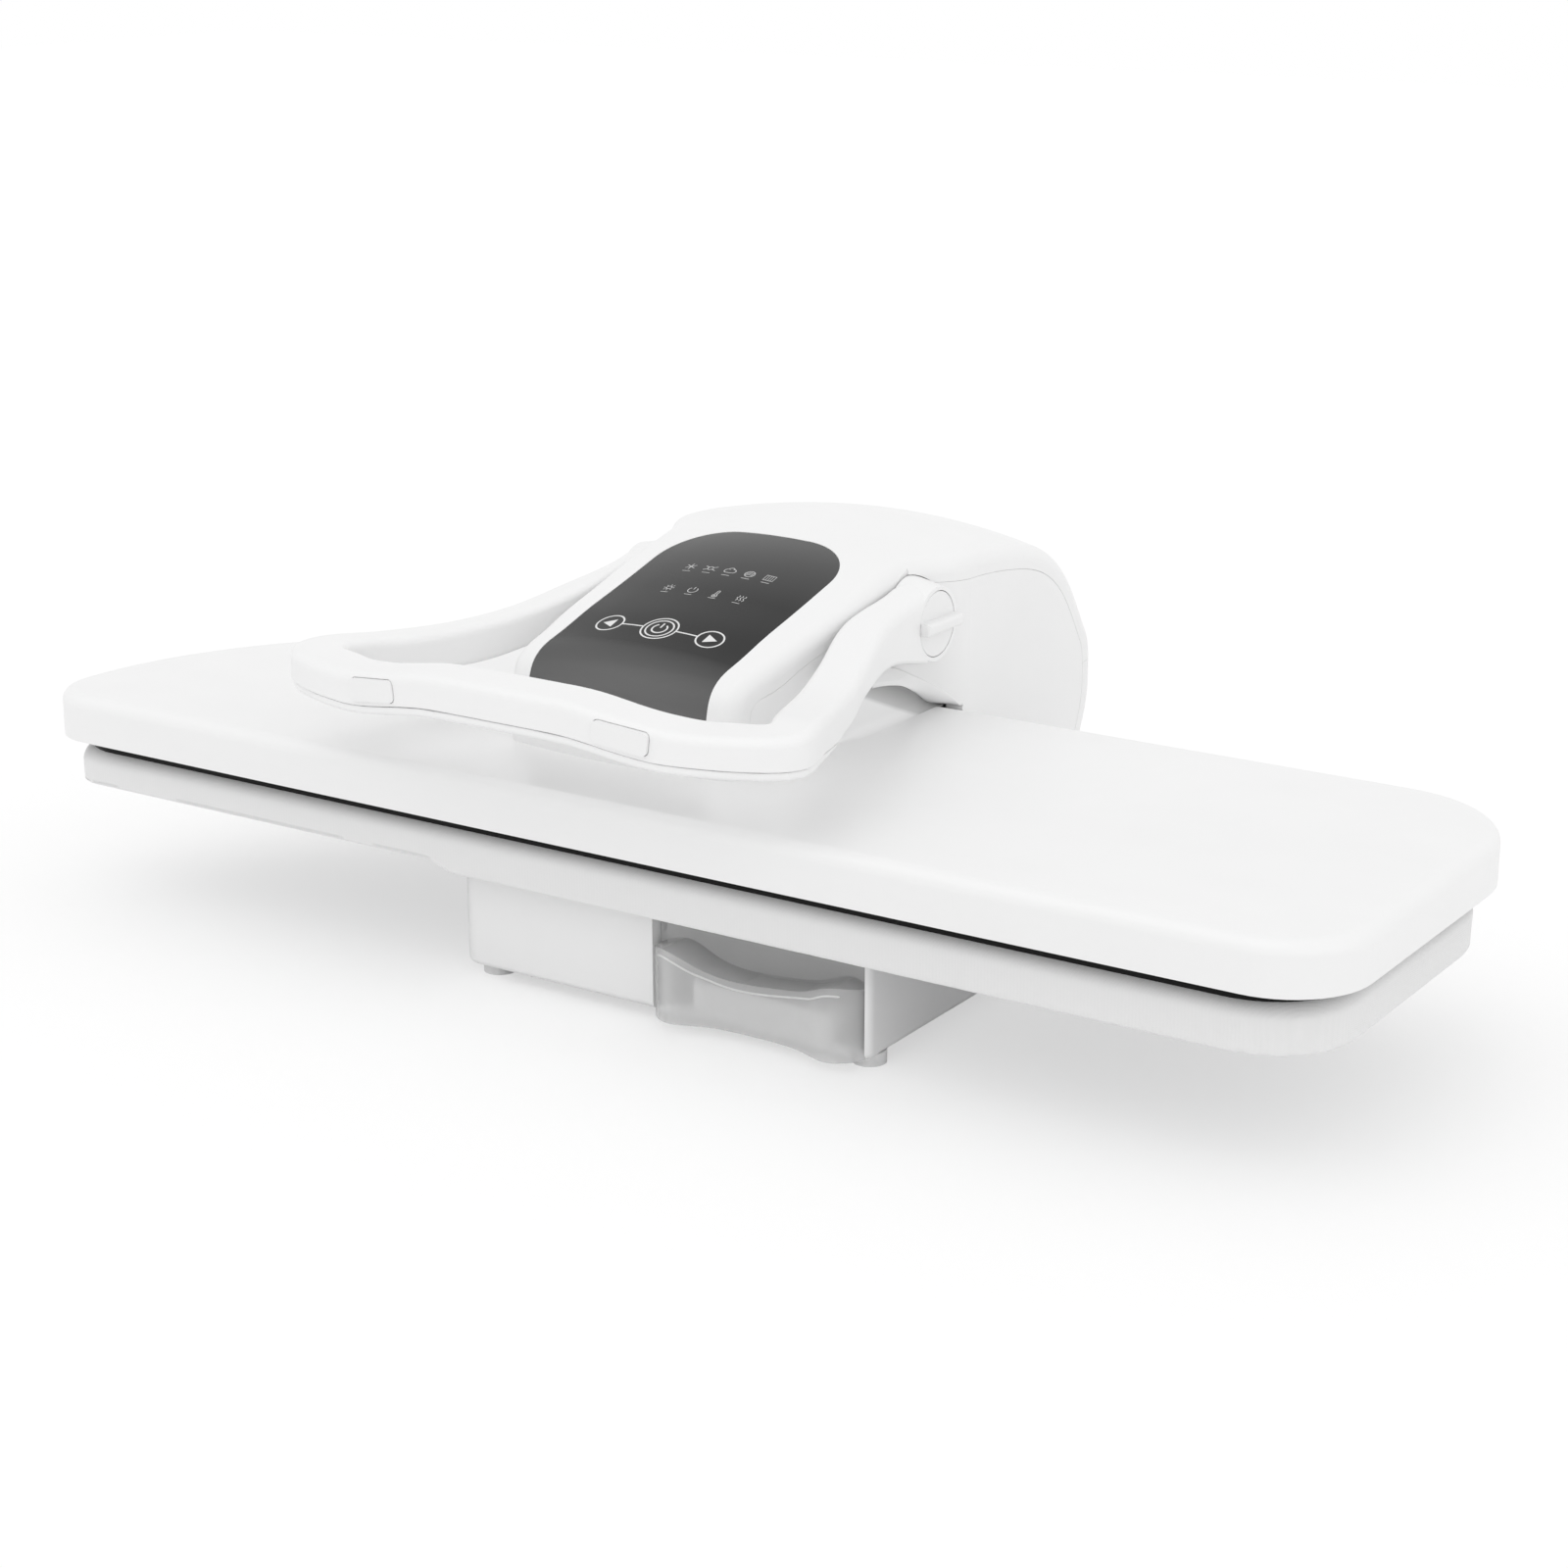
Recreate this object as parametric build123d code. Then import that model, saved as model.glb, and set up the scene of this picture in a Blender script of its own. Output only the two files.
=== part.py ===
from build123d import *
import math
import os

# Steam ironing press. Millimetres, +Z up, the user stands at -Y.
# The origin is on the table, under the middle of the whole press.

# Press cover, the white plastic shell over the hot plate
cover_length = 810.0
cover_depth = 260.0
cover_skirt = 20.0
cover_rise = 7.5
cover_wall = 2.6
nose_length = 250.0
tip_radius = 32.0
front_corner_radius = 45.0
back_corner_radius = 70.0

# Heights that stack up from the table
foot_height = 7.0
base_height = 57.0
board_height = 28.5
closed_gap = 0.5
plate_drop = 4.0

# Hinge between the base and the press head, and the housing round it
hinge_back = 322.0
hinge_rise = 8.0
arm_offset = 38.0
drum_radius = 112.5
drum_half_width = 99.5
drum_low_radius = 60.0
drum_end_angle = 268.0
back_cover_end_angle = 245.0
back_cover_start_angle = 172.0
hood_reach = 261.0
hood_rise = 97.5
crown_radius = 410.0
hood_edge_radius = 10.0
shell_wall = 3.0
part_line = 0.2
cavity_end_angle = 271.0
rear_flange = 88.0
rear_flange_start = 262.0
side_panel_drop = 13.0

# Side view of the hood, front foot to crest: how far ahead of the hinge, and how high above the cover
hood_profile_shares = [
    (1.000, 0.000),
    (0.999, 0.149),
    (0.996, 0.292),
    (0.989, 0.395),
    (0.973, 0.487),
    (0.946, 0.551),
    (0.874, 0.618),
    (0.785, 0.690),
    (0.667, 0.773),
    (0.559, 0.852),
    (0.467, 0.918),
    (0.383, 0.965),
    (0.291, 0.996),
    (0.199, 1.003),
    (0.100, 0.989),
]
# Behind the hinge the line goes on at these angles and shares of the drum's radius
rear_profile_shares = [(90, 1.000), (113, 0.978), (136, 0.966), (159, 0.980), (180, 0.991)]
# Under the rear it draws in, so that the open head clears the table
low_profile_shares = [(192, 0.975), (205, 0.945), (220, 0.915)]
low_end_share = 0.890
# Plan of the hood's side: how far ahead of the hinge, and its half width
hood_plan_shares = [
    (1.042, 0.734),
    (0.820, 0.779),
    (0.659, 0.804),
    (0.500, 0.815),
    (0.380, 0.822),
    (0.330, 0.850),
    (0.285, 0.920),
    (0.240, 0.978),
]
hood_plan_end_share = 0.195
# Side view of the arch under the hood's flared side: ahead of the hinge, above the cover
arch_shares = [
    (0.732, -0.120),
    (0.694, 0.180),
    (0.567, 0.359),
    (0.456, 0.349),
    (0.352, 0.246),
    (0.257, 0.077),
    (0.211, -0.060),
]
arch_half_width = 82.3

# Lever: the U-shaped handle round the hood
handle_reach = 40.0
handle_half_span = 164.5
handle_rise = 93.0
handle_round = 5.0
handle_trim_height = 5.0
handle_trim_inset = 0.8
handle_seam = 0.45
arm_low_round = 3.0
arc_fullness = 0.586
small_round = 0.6
pivot_back = 230.5
pivot_rise = 82.5
ear_radius = 25.0
ear_taper = 0.2
ear_inner = 82.5
ear_outer = 101.5
ear_clearance = 0.5
recess_inner = 81.5
recess_floor_drop = 22.5
recess_run = 130.0
handle_shaft_radius = 7.0
handle_shaft_inner_end = 92.0
# Stations from the ear to the middle of the front bar, in shares of the span, the run and the rise:
# outer edge across, outer edge ahead of the pivot, inner edge across, inner edge ahead, top, underside
handle_shares = [
    (0.615, 0.031, 0.503, 0.031, 1.089, 0.656),
    (0.617, 0.094, 0.502, 0.094, 1.062, 0.694),
    (0.626, 0.179, 0.502, 0.179, 1.025, 0.733),
    (0.660, 0.261, 0.508, 0.261, 0.982, 0.735),
    (0.702, 0.335, 0.538, 0.335, 0.932, 0.726),
    (0.745, 0.409, 0.581, 0.409, 0.895, 0.710),
    (0.790, 0.482, 0.622, 0.482, 0.877, 0.675),
    (0.833, 0.556, 0.664, 0.556, 0.874, 0.660),
    (0.881, 0.630, 0.704, 0.630, 0.882, 0.656),
    (0.926, 0.704, 0.745, 0.704, 0.898, 0.661),
    (0.962, 0.760, 0.782, 0.756, 0.914, 0.667),
    (0.993, 0.815, 0.812, 0.797, 0.920, 0.669),
    (1.000, 0.852, 0.824, 0.813, 0.916, 0.669),
    (0.973, 0.887, 0.819, 0.823, 0.910, 0.669),
    (0.912, 0.917, 0.793, 0.828, 0.905, 0.669),
    (0.790, 0.950, 0.736, 0.835, 0.902, 0.669),
    (0.681, 0.969, 0.660, 0.852, 0.902, 0.670),
    (0.608, 0.979, 0.596, 0.861, 0.910, 0.673),
    (0.535, 0.985, 0.529, 0.870, 0.925, 0.684),
    (0.462, 0.991, 0.459, 0.877, 0.945, 0.703),
    (0.377, 0.996, 0.376, 0.881, 0.970, 0.727),
    (0.292, 0.998, 0.292, 0.884, 0.991, 0.745),
    (0.158, 1.000, 0.158, 0.885, 0.999, 0.753),
    (0.000, 1.000, 0.000, 0.885, 1.000, 0.753),
]
# At each station, from the ear on: how much higher the inner edge of the top is, as a share of the rise
handle_lean_shares = [0.054, 0.054, 0.055, 0.055, 0.053, 0.046, 0.034, 0.020, 0.008] + [0.0] * 15
# and how much of the trim's full height it has there: the arms have none
handle_trim_shares = [0.0] * 8 + [0.25, 0.6] + [1.0] * 14

# Steam buttons in the lever's front
button_spread = 79.5
button_width = 32.0
button_height = 12.0
button_depth = 9.0
button_round = 3.0
button_proud = 1.2
button_clearance = 0.3
button_travel = 2.5
button_front = 37.3
button_plan_tilt = 5.0
button_wave_tilt = 7.0
button_centre_rise = 78.5
switch_size = 6.0
switch_depth = 4.0

# Lock knob and the cap that mirrors it
knob_radius = 18.5
knob_sink = 6.0
knob_clearance = 0.4
knob_bar_height = 6.5
knob_bar_width = 7.0
knob_stem_radius = 4.0
knob_stem_length = 5.5
knob_floor_gap = 0.2
cap_thickness = 3.0
cap_crown = 0.8

# Control panel and the board behind it
panel_half_width = 58.5
panel_apex_back = 222.0
panel_corner_radius = 36.0
panel_low_rise = 40.0
panel_sink = 0.2
panel_glass = 1.8
panel_clearance = 0.25
control_board_width = 100.0
control_board_length = 90.0
control_board_thickness = 1.6
control_board_back = 148.0
control_board_rise = 92.0
control_board_tilt = 15.3
post_radius = 3.0
post_inset = 8.0
chip_size = 12.0
chip_height = 3.0

# Hot plate and what lies on it
plate_thickness = 10.0
plate_gap = 0.6
plate_tip_inset = 20.0
plate_end_inset = 9.0
plate_back_inset = 8.0
steam_hole_radius = 1.6
steam_hole_pitch = 42.0
steam_row_pitch = 38.0
steam_rows = 5
steam_columns = 15
steam_hole_inset = 60.0
plate_post_radius = 7.0
plate_post_spread = 40.0
plate_post_front = 112.0
plate_post_back = 212.0
element_radius = 3.4
element_inset = 14.0
element_end_inset = 40.0
chamber_inset = 26.0
chamber_end_inset = 100.0
chamber_height = 7.0
chamber_wall = 1.5
insulation = 3.0
thermostat_radius = 9.0
thermostat_height = 12.0
thermostat_end_inset = 62.0
thermostat_back = 120.0
fuse_back = 160.0
fuse_length = 16.0
fuse_radius = 2.5
fuse_clip_wall = 1.2

# Ironing board with its pad
board_left_inset = 12.0
board_tip_radius = 20.0
board_right_inset = 9.0
board_front_inset = 8.0
board_back_inset = 7.0
fabric = 1.0
hem_width = 12.0
soft_gap = 0.3
tray_wall = 1.6
tray_height = 14.0
tray_step_rise = 5.0
tray_step_place = 283.0
tray_step_run = 14.0

# Base box, with its tongue under the hinge
base_left = 289.5
base_width = 263.5
base_front_inset = 25.0
base_depth = 213.0
base_wall = 3.0
base_left_corner = 12.0
base_right_corner = 5.0
base_bottom_round = 4.0
base_rim_height = 3.0
base_rim_out = 2.5
bottom_plate = 2.5
bottom_clearance = 0.3
tongue_half_width = 76.0
tongue_back = 318.0
tongue_top_drop = 42.0
tongue_height = 36.0
foot_radius = 9.0
foot_left_inset = 14.0
foot_right_inset = 10.0
foot_front_inset = 17.0
foot_back_inset = 14.0
boss_radius = 4.5
boss_inset = 27.0
gland_place = 520.0
gland_radius = 8.0
gland_flange = 11.0
gland_flange_length = 3.0
gland_bore = 3.5
gland_rise = 28.0
gland_inner_length = 4.0

# Water tank and its bay
tank_left = 420.0
tank_width = 129.4
tank_depth = 132.0
tank_height = 47.0
tank_wall = 2.2
tank_clearance = 0.6
tank_floor_gap = 0.5
tank_hang = 3.6
tank_hang_run = 6.5
tank_bulge = 11.0
tank_front_shares = [
    (0.000, -0.50),
    (0.030, 0.35),
    (0.116, 1.00),
    (0.240, 0.60),
    (0.500, 0.22),
    (0.760, 0.60),
    (0.884, 1.00),
    (0.970, 0.35),
    (1.000, -0.50),
]
tank_grip_back = 16.0
tank_grip_front = 6.0
# The pull ledge over the grip, as shares of the tank's width and height
tank_ledge_shares = [
    (0.000, 0.700),
    (0.030, 0.740),
    (0.116, 0.780),
    (0.240, 0.620),
    (0.386, 0.520),
    (0.580, 0.545),
    (0.780, 0.660),
    (0.884, 0.775),
    (0.970, 0.760),
    (1.000, 0.730),
]
bay_wall = 2.0
lid_thickness = 2.0
filler_radius = 11.0
cap_height = 2.4
filler_side = 34.0
filler_back = 60.0
spigot_radius = 5.0
spigot_bore = 3.0
spigot_length = 13.0
spigot_rise = 12.0
seal_ring = 1.2
seal_place = 8.0
socket_wall = 2.5
socket_length = 16.0

# Pump, hoses and the power board
pump_radius = 13.0
pump_length = 42.0
pump_side = 80.0
pump_back = 214.0
pump_foot = 4.0
hose_radius = 4.0
hose_bore = 2.4
power_board_left = 16.0
power_board_width = 86.0
power_board_front = 62.0
power_board_length = 96.0
power_board_lift = 6.0
coil_radius = 9.0
coil_height = 16.0

# Hinge hardware
hinge_shaft_radius = 8.0
hinge_shaft_over = 5.0
running_clearance = 0.05
bush_wall = 2.5
bush_flange = 1.5
bush_flange_out = 3.0
bracket_thickness = 4.0
bracket_half_spread = 60.0
bracket_front = 264.0
bracket_back = 314.0
bracket_foot_width = 13.0
bracket_hub = 17.0
clip_thickness = 1.2
clip_out = 3.0
arm_plate_thickness = 4.0
arm_half_spread = 44.0
hub_radius = 19.0
tie_radius = 4.0
spring_wire = 1.6
spring_pitch = 4.2
spring_turns = 6
spring_inner_end = 10.0
bridge_thickness = 4.0
bridge_half_width = 54.0
bridge_front = 94.0
bridge_back = 244.0
cam_spread = 30.0
cam_width = 10.0
cam_hub = 13.0
cam_tip = 8.0
cam_gap = 0.3
pad_height = 3.5
pad_length = 24.0
guard_thickness = 0.8
guard_gap = 0.3

# Small hardware
screw_radius = 1.5
screw_head_radius = 3.4
screw_head_height = 2.0
bottom_screw_length = 12.0
plate_screw_length = 16.0
cut_over = 1.0

# Places worked out from the sizes above
front_y = (handle_reach - hinge_back - drum_radius * rear_profile_shares[-1][1]) / 2
left_x = -cover_length / 2
right_x = cover_length / 2
base_floor_z = foot_height
board_z = base_floor_z + base_height
base_top_z = board_z + fabric
board_top_z = board_z + board_height
plate_z = board_top_z + closed_gap
skirt_z = plate_z + plate_drop
cover_top_z = skirt_z + cover_skirt + cover_rise
hinge_y = front_y + hinge_back
hinge_z = skirt_z + hinge_rise
arm_x = -arm_offset
pivot_y = front_y + pivot_back
pivot_z = skirt_z + pivot_rise
base_x0 = left_x + base_left
base_x1 = base_x0 + base_width
base_y0 = front_y + base_front_inset
base_y1 = base_y0 + base_depth
tank_x0 = left_x + tank_left
tank_x1 = tank_x0 + tank_width
tank_x = (tank_x0 + tank_x1) / 2

written = []


def save(name, shape):
    solids = shape.solids()
    whole = solids[0] if len(solids) == 1 else Compound(children=list(solids))
    export_step(whole, "parts/" + name + ".step")
    written.append(name)


def block(x0, x1, y0, y1, z0, z1):
    return Pos((x0 + x1) / 2, (y0 + y1) / 2, (z0 + z1) / 2) * Box(x1 - x0, y1 - y0, z1 - z0)


def rod(radius, start, end):
    a, b = Vector(*start), Vector(*end)
    return Solid.make_cylinder(radius, (b - a).length, Plane(origin=a, z_dir=b - a))


def pipe(outer, inner, start, end):
    return rod(outer, start, end) - rod(inner, start, end)


def rise(outline, z0, z1):
    return extrude(Pos(0, 0, z0) * outline, z1 - z0)


def side_prism(points, x0, x1):
    """A plate across X whose side view is the polygon of (y, z) points."""
    edge = Wire.make_polygon([Vector(x0, y, z) for y, z in points], close=True)
    return extrude(Face(edge), x1 - x0, dir=(1, 0, 0))


def radians_of(degrees_of_arc):
    return math.radians(degrees_of_arc)


def polar(radius, degrees_of_arc, y=hinge_y, z=hinge_z):
    """A place at an angle round the hinge: 0 points to the front, 90 up."""
    a = radians_of(degrees_of_arc)
    return y - radius * math.cos(a), z + radius * math.sin(a)


def wing(x0, x1, y0, y1, tip, front_radius, back_radius, nose):
    """The ironing outline: a blunt nose on the left and a square end on the right."""
    edges = [
        Line((x0 + tip, y0), (x1 - front_radius, y0)),
        CenterArc((x1 - front_radius, y0 + front_radius), front_radius, 270, 90),
        Line((x1, y0 + front_radius), (x1, y1 - back_radius)),
        CenterArc((x1 - back_radius, y1 - back_radius), back_radius, 0, 90),
        Line((x1 - back_radius, y1), (x0 + nose, y1)),
        EllipticalCenterArc((x0 + nose, y0 + tip), nose, y1 - y0 - tip, start_angle=90, arc_size=90),
        CenterArc((x0 + tip, y0 + tip), tip, 180, 90),
    ]
    return make_face(Wire(edges))


def cover_outline(inset):
    return wing(
        left_x + inset,
        right_x - inset,
        front_y + inset,
        front_y + cover_depth - inset,
        tip_radius - inset,
        front_corner_radius - inset,
        back_corner_radius - inset,
        nose_length - inset,
    )


def plate_outline(inset):
    return wing(
        left_x + plate_tip_inset + inset,
        right_x - plate_end_inset - inset,
        front_y + cover_wall + plate_gap + inset,
        front_y + cover_depth - plate_back_inset - inset,
        tip_radius - inset,
        front_corner_radius - inset,
        back_corner_radius - inset,
        nose_length - plate_tip_inset - inset,
    )


def board_outline(inset):
    return wing(
        left_x + board_left_inset + inset,
        right_x - board_right_inset - inset,
        front_y + board_front_inset + inset,
        front_y + cover_depth - board_back_inset - inset,
        board_tip_radius - inset,
        front_corner_radius - inset,
        back_corner_radius - inset,
        nose_length - board_left_inset - inset,
    )


def board_form(inset, lift, top):
    """The board's solid form, shallower under the nose than over the base."""
    step_x = left_x + tray_step_place
    low, high = board_z + lift, board_z + tray_step_rise + lift
    ends = (front_y, front_y + cover_depth)
    profile = Wire.make_polygon(
        [
            Vector(left_x, ends[0], high),
            Vector(step_x, ends[0], high),
            Vector(step_x + tray_step_run, ends[0], low),
            Vector(right_x, ends[0], low),
            Vector(right_x, ends[0], top),
            Vector(left_x, ends[0], top),
        ],
        close=True,
    )
    slab = extrude(Face(profile), ends[1] - ends[0], dir=(0, 1, 0))
    return slab & rise(board_outline(inset), low, top)


def screws(places, head_z, length, down=True):
    """Pan-head screws on vertical axes, heads towards the table when down is true."""
    turn = 1 if down else -1
    made = []
    for x, y in places:
        head = rod(screw_head_radius, (x, y, head_z), (x, y, head_z + turn * screw_head_height))
        shank_end = head_z + turn * (screw_head_height + length)
        shank = rod(screw_radius - running_clearance, (x, y, head_z), (x, y, shank_end))
        made.append(head + shank)
    return Compound(children=made)


# Housing of the press head


def hood_points(inset):
    """Side view of the hood's top line, moved inwards by the inset."""
    places = [
        (hinge_y - reach * hood_reach, cover_top_z + up * hood_rise)
        for reach, up in hood_profile_shares
    ]
    moved = []
    for i, (y, z) in enumerate(places):
        y0, z0 = places[max(i - 1, 0)]
        y1, z1 = places[min(i + 1, len(places) - 1)]
        run = math.hypot(y1 - y0, z1 - z0)
        moved.append((y + inset * (z1 - z0) / run, z - inset * (y1 - y0) / run))
    moved[0] = (moved[0][0], places[0][1])
    return moved


def hood_section(x, inset, low_radius, end_angle, low_z):
    """One side-view section of the housing at a place across its width."""
    drop = inset + x * x / (2 * crown_radius)
    radius = drum_radius - drop

    def at(place):
        return Vector(arm_x + x, place[0], place[1])

    top = hood_points(drop)
    top[0] = (top[0][0], low_z)
    over = [polar(radius * share, angle) for angle, share in rear_profile_shares]
    line = Spline(
        *[at(p) for p in top + over],
        tangents=[Vector(0, 0, 1), Vector(0, 0, -1)],
    )
    under = [polar(radius * share, angle) for angle, share in low_profile_shares]
    low_end = at(polar(radius * low_end_share, end_angle))
    low = Spline(
        at(over[-1]),
        *[at(p) for p in under],
        low_end,
        tangents=[Vector(0, 0, -1), Vector(0, -1, 0)],
    )
    spoke = Line(low_end, at(polar(low_radius, end_angle)))
    meet = math.degrees(math.asin((low_z - hinge_z) / low_radius))
    belly = ThreePointArc(
        at(polar(low_radius, end_angle)),
        at(polar(low_radius, (end_angle + 360 + meet) / 2)),
        at(polar(low_radius, 360 + meet)),
    )
    floor = Line(at(polar(low_radius, 360 + meet)), at(top[0]))
    return Wire([line, low, spoke, belly, floor])


def hood_loft(inset, half_width, low_radius=drum_low_radius, end_angle=drum_end_angle, low_z=cover_top_z):
    fifths = [-1, -0.6, 0, 0.6, 1]
    wires = [hood_section(half_width * f, inset, low_radius, end_angle, low_z) for f in fifths]
    return Solid.make_loft(wires)


def hood_plan(inset):
    """Plan of the housing, as a tall prism."""
    places = [(hinge_y - reach * hood_reach, half * drum_half_width - inset) for reach, half in hood_plan_shares]
    straight_y = hinge_y - hood_plan_end_share * hood_reach
    wide = drum_half_width - inset
    back_y = hinge_y + drum_radius + cut_over

    def side(sign):
        return Spline(
            *[Vector(arm_x + sign * h, y) for y, h in places],
            Vector(arm_x + sign * wide, straight_y),
            tangents=[Vector(sign * (places[1][1] - places[0][1]), places[1][0] - places[0][0]), Vector(0, 1)],
        )

    edges = [
        side(1),
        Line((arm_x + wide, straight_y), (arm_x + wide, back_y)),
        Line((arm_x + wide, back_y), (arm_x - wide, back_y)),
        Line((arm_x - wide, back_y), (arm_x - wide, straight_y)),
        side(-1),
        Line((arm_x - places[0][1], places[0][0]), (arm_x + places[0][1], places[0][0])),
    ]
    return rise(make_face(Wire(edges)), 0, cover_top_z + hood_rise + drum_radius)


def both_sides(inner, outer, make):
    """The same side-view solid on both sides of the housing."""
    return make(arm_x + inner, arm_x + outer) + make(arm_x - outer, arm_x - inner)


def arch_block(grow):
    """The space under the flared sides, over the back of the press cover."""
    places = [
        (hinge_y - reach * hood_reach, cover_top_z + up * hood_rise + grow)
        for reach, up in arch_shares
    ]
    places[0] = (places[0][0] - grow, places[0][1] - grow)
    places[-1] = (places[-1][0] + grow, places[-1][1] - grow)

    def make(x0, x1):
        line = Spline(*[Vector(x0, y, z) for y, z in places])
        close = Line(line @ 1, line @ 0)
        return extrude(Face(Wire([line, close])), x1 - x0, dir=(1, 0, 0))

    return both_sides(arch_half_width - grow, drum_half_width + cut_over, make)


def ear_form(x0, x1, grow):
    """A disc on the pivot's axis that narrows outwards."""

    def radius(x):
        return ear_radius + grow - ear_taper * (abs(x - arm_x) - ear_inner)

    place = Plane(origin=(x0, pivot_y, pivot_z), z_dir=(1, 0, 0))
    return Solid.make_cone(radius(x0), radius(x1), x1 - x0, place)


def ear_recess(grow):
    """The pocket in each side of the housing that the handle's ear and arm turn in."""
    low_z = pivot_z - recess_floor_drop - grow

    def make(x0, x1):
        disc = ear_form(x0, x1, ear_clearance + grow)
        ahead = block(x0, x1, pivot_y - recess_run, pivot_y, low_z, pivot_z + drum_radius)
        return disc + ahead

    return both_sides(recess_inner - grow, drum_half_width + hood_edge_radius, make)


def housing_solid():
    body = hood_loft(0, drum_half_width + hood_edge_radius) & hood_plan(0)
    rounded = [
        e
        for e in body.edges()
        if e.bounding_box().max.Z > pivot_z - ear_radius
        and abs(e.center().X - arm_x) > drum_half_width / 2
        and e.bounding_box().size.Y > ear_radius
    ]
    body = fillet(rounded, hood_edge_radius)
    return body - arch_block(0) - ear_recess(0)


def housing_cavity():
    inner = hood_loft(
        shell_wall,
        drum_half_width + hood_edge_radius,
        low_radius=drum_low_radius - shell_wall,
        end_angle=cavity_end_angle,
        low_z=cover_top_z - cut_over,
    )
    inner = inner & hood_plan(shell_wall)
    return inner - arch_block(shell_wall) - ear_recess(shell_wall)


def mirrored(shape):
    """The same shape on the other side of the arm's middle plane."""
    return shape.mirror(Plane(origin=(arm_x, 0, 0), z_dir=(1, 0, 0)))


def ring_pair(outer, inner, start, end, y, z):
    """A ring on each side of the arm's middle, between two distances from it."""
    right = pipe(outer, inner, (arm_x + start, y, z), (arm_x + end, y, z))
    return Compound(children=[right, mirrored(right)])


def rear_sector(start, end):
    """The part of the side view behind the hinge between two angles, across the housing."""
    reach = 2 * drum_radius
    steps = 8
    angles = [start + (end - start) * i / steps for i in range(steps + 1)]
    points = [(hinge_y, hinge_z)] + [polar(reach, a) for a in angles]
    wide = drum_half_width + cut_over
    return side_prism(points, arm_x - wide, arm_x + wide)


def panel_tab(grow):
    """Plan of the touch panel as a prism: straight sides and a rounded top corner each side."""
    half = panel_half_width + grow
    apex = front_y + panel_apex_back + grow
    radius = panel_corner_radius + grow
    start = front_y
    edges = [
        Line((arm_x - half, start), (arm_x + half, start)),
        Line((arm_x + half, start), (arm_x + half, apex - radius)),
        CenterArc((arm_x + half - radius, apex - radius), radius, 0, 90),
        Line((arm_x + half - radius, apex), (arm_x - half + radius, apex)),
        CenterArc((arm_x - half + radius, apex - radius), radius, 90, 90),
        Line((arm_x - half, apex - radius), (arm_x - half, start)),
    ]
    low = skirt_z + panel_low_rise - grow
    return rise(make_face(Wire(edges)), low, cover_top_z + hood_rise + drum_radius)


def handle_section(station, mirror, low, high, lean, inset, low_round, high_round):
    """An upright rounded section of the lever at one station of its plan, higher inside by its lean."""
    outer_x, outer_y, inner_x, inner_y = station
    side = -1 if mirror else 1
    a = Vector(arm_x + side * inner_x, pivot_y - inner_y, 0)
    b = Vector(arm_x + side * outer_x, pivot_y - outer_y, 0)
    tops = (high + lean, high)
    if mirror:
        a, b = b, a
        tops = (high, high + lean)
    width = (b - a).length - 2 * inset
    across = (b - a).normalized()
    start = a + across * inset
    end = start + across * width
    up = Vector(0, 0, 1)
    corners = [start + up * low, end + up * low, end + up * tops[1], start + up * tops[0]]
    rounds = [low_round, low_round, high_round, high_round]
    arcs = []
    for k, (corner, radius) in enumerate(zip(corners, rounds)):
        before = corner + (corners[k - 1] - corner).normalized() * radius
        after = corner + (corners[(k + 1) % 4] - corner).normalized() * radius
        middle = corner + ((before + after) / 2 - corner) * arc_fullness
        arcs.append((before, middle, after))
    edges = []
    for k, (before, middle, after) in enumerate(arcs):
        edges.append(Edge.make_line(arcs[k - 1][2], before))
        edges.append(Edge.make_three_point_arc(before, middle, after))
    return Wire(edges)


def handle_loft(upper):
    """The lever's upper shell, or the narrower trim that closes its bar from below."""
    reach = pivot_back + handle_reach
    stations = []
    for shares, lean, trim in zip(handle_shares, handle_lean_shares, handle_trim_shares):
        outer, outer_run, inner, inner_run, top, under = shares
        place = (outer * handle_half_span, outer_run * reach, inner * handle_half_span, inner_run * reach)
        if upper or trim:
            stations.append((place, skirt_z + top * handle_rise, skirt_z + under * handle_rise, lean, trim))
    path = [(s, False) for s in stations] + [(s, True) for s in reversed(stations[:-1])]
    wires = []
    for (place, top, under, lean, trim), mirror in path:
        seam = under + handle_trim_height * trim
        if upper:
            low_round = small_round + (arm_low_round - small_round) * (1 - trim)
            rise_in = lean * handle_rise
            wires.append(handle_section(place, mirror, seam, top, rise_in, 0, low_round, handle_round))
        else:
            half = (seam - handle_seam - under) / 2
            top_round = min(small_round, half / 2)
            wires.append(
                handle_section(place, mirror, under, seam - handle_seam, 0, handle_trim_inset, half, top_round)
            )
    return Solid.make_loft(wires, ruled=not upper)


def button_form(sign, grow, front, back):
    """A rounded block let into the bar's front, between two depths behind the bar's face."""
    w = button_width + 2 * grow
    h = button_height + 2 * grow
    form = RectangleRounded(w, h, button_round + grow)
    solid = extrude(form, back - front)
    place = Pos(arm_x + sign * button_spread, front_y - button_front, skirt_z + button_centre_rise)
    turn = Rot(0, 0, sign * button_plan_tilt) * Rot(0, sign * button_wave_tilt, 0) * Rot(-90, 0, 0)
    return place * turn * Pos(0, 0, front) * solid


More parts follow.
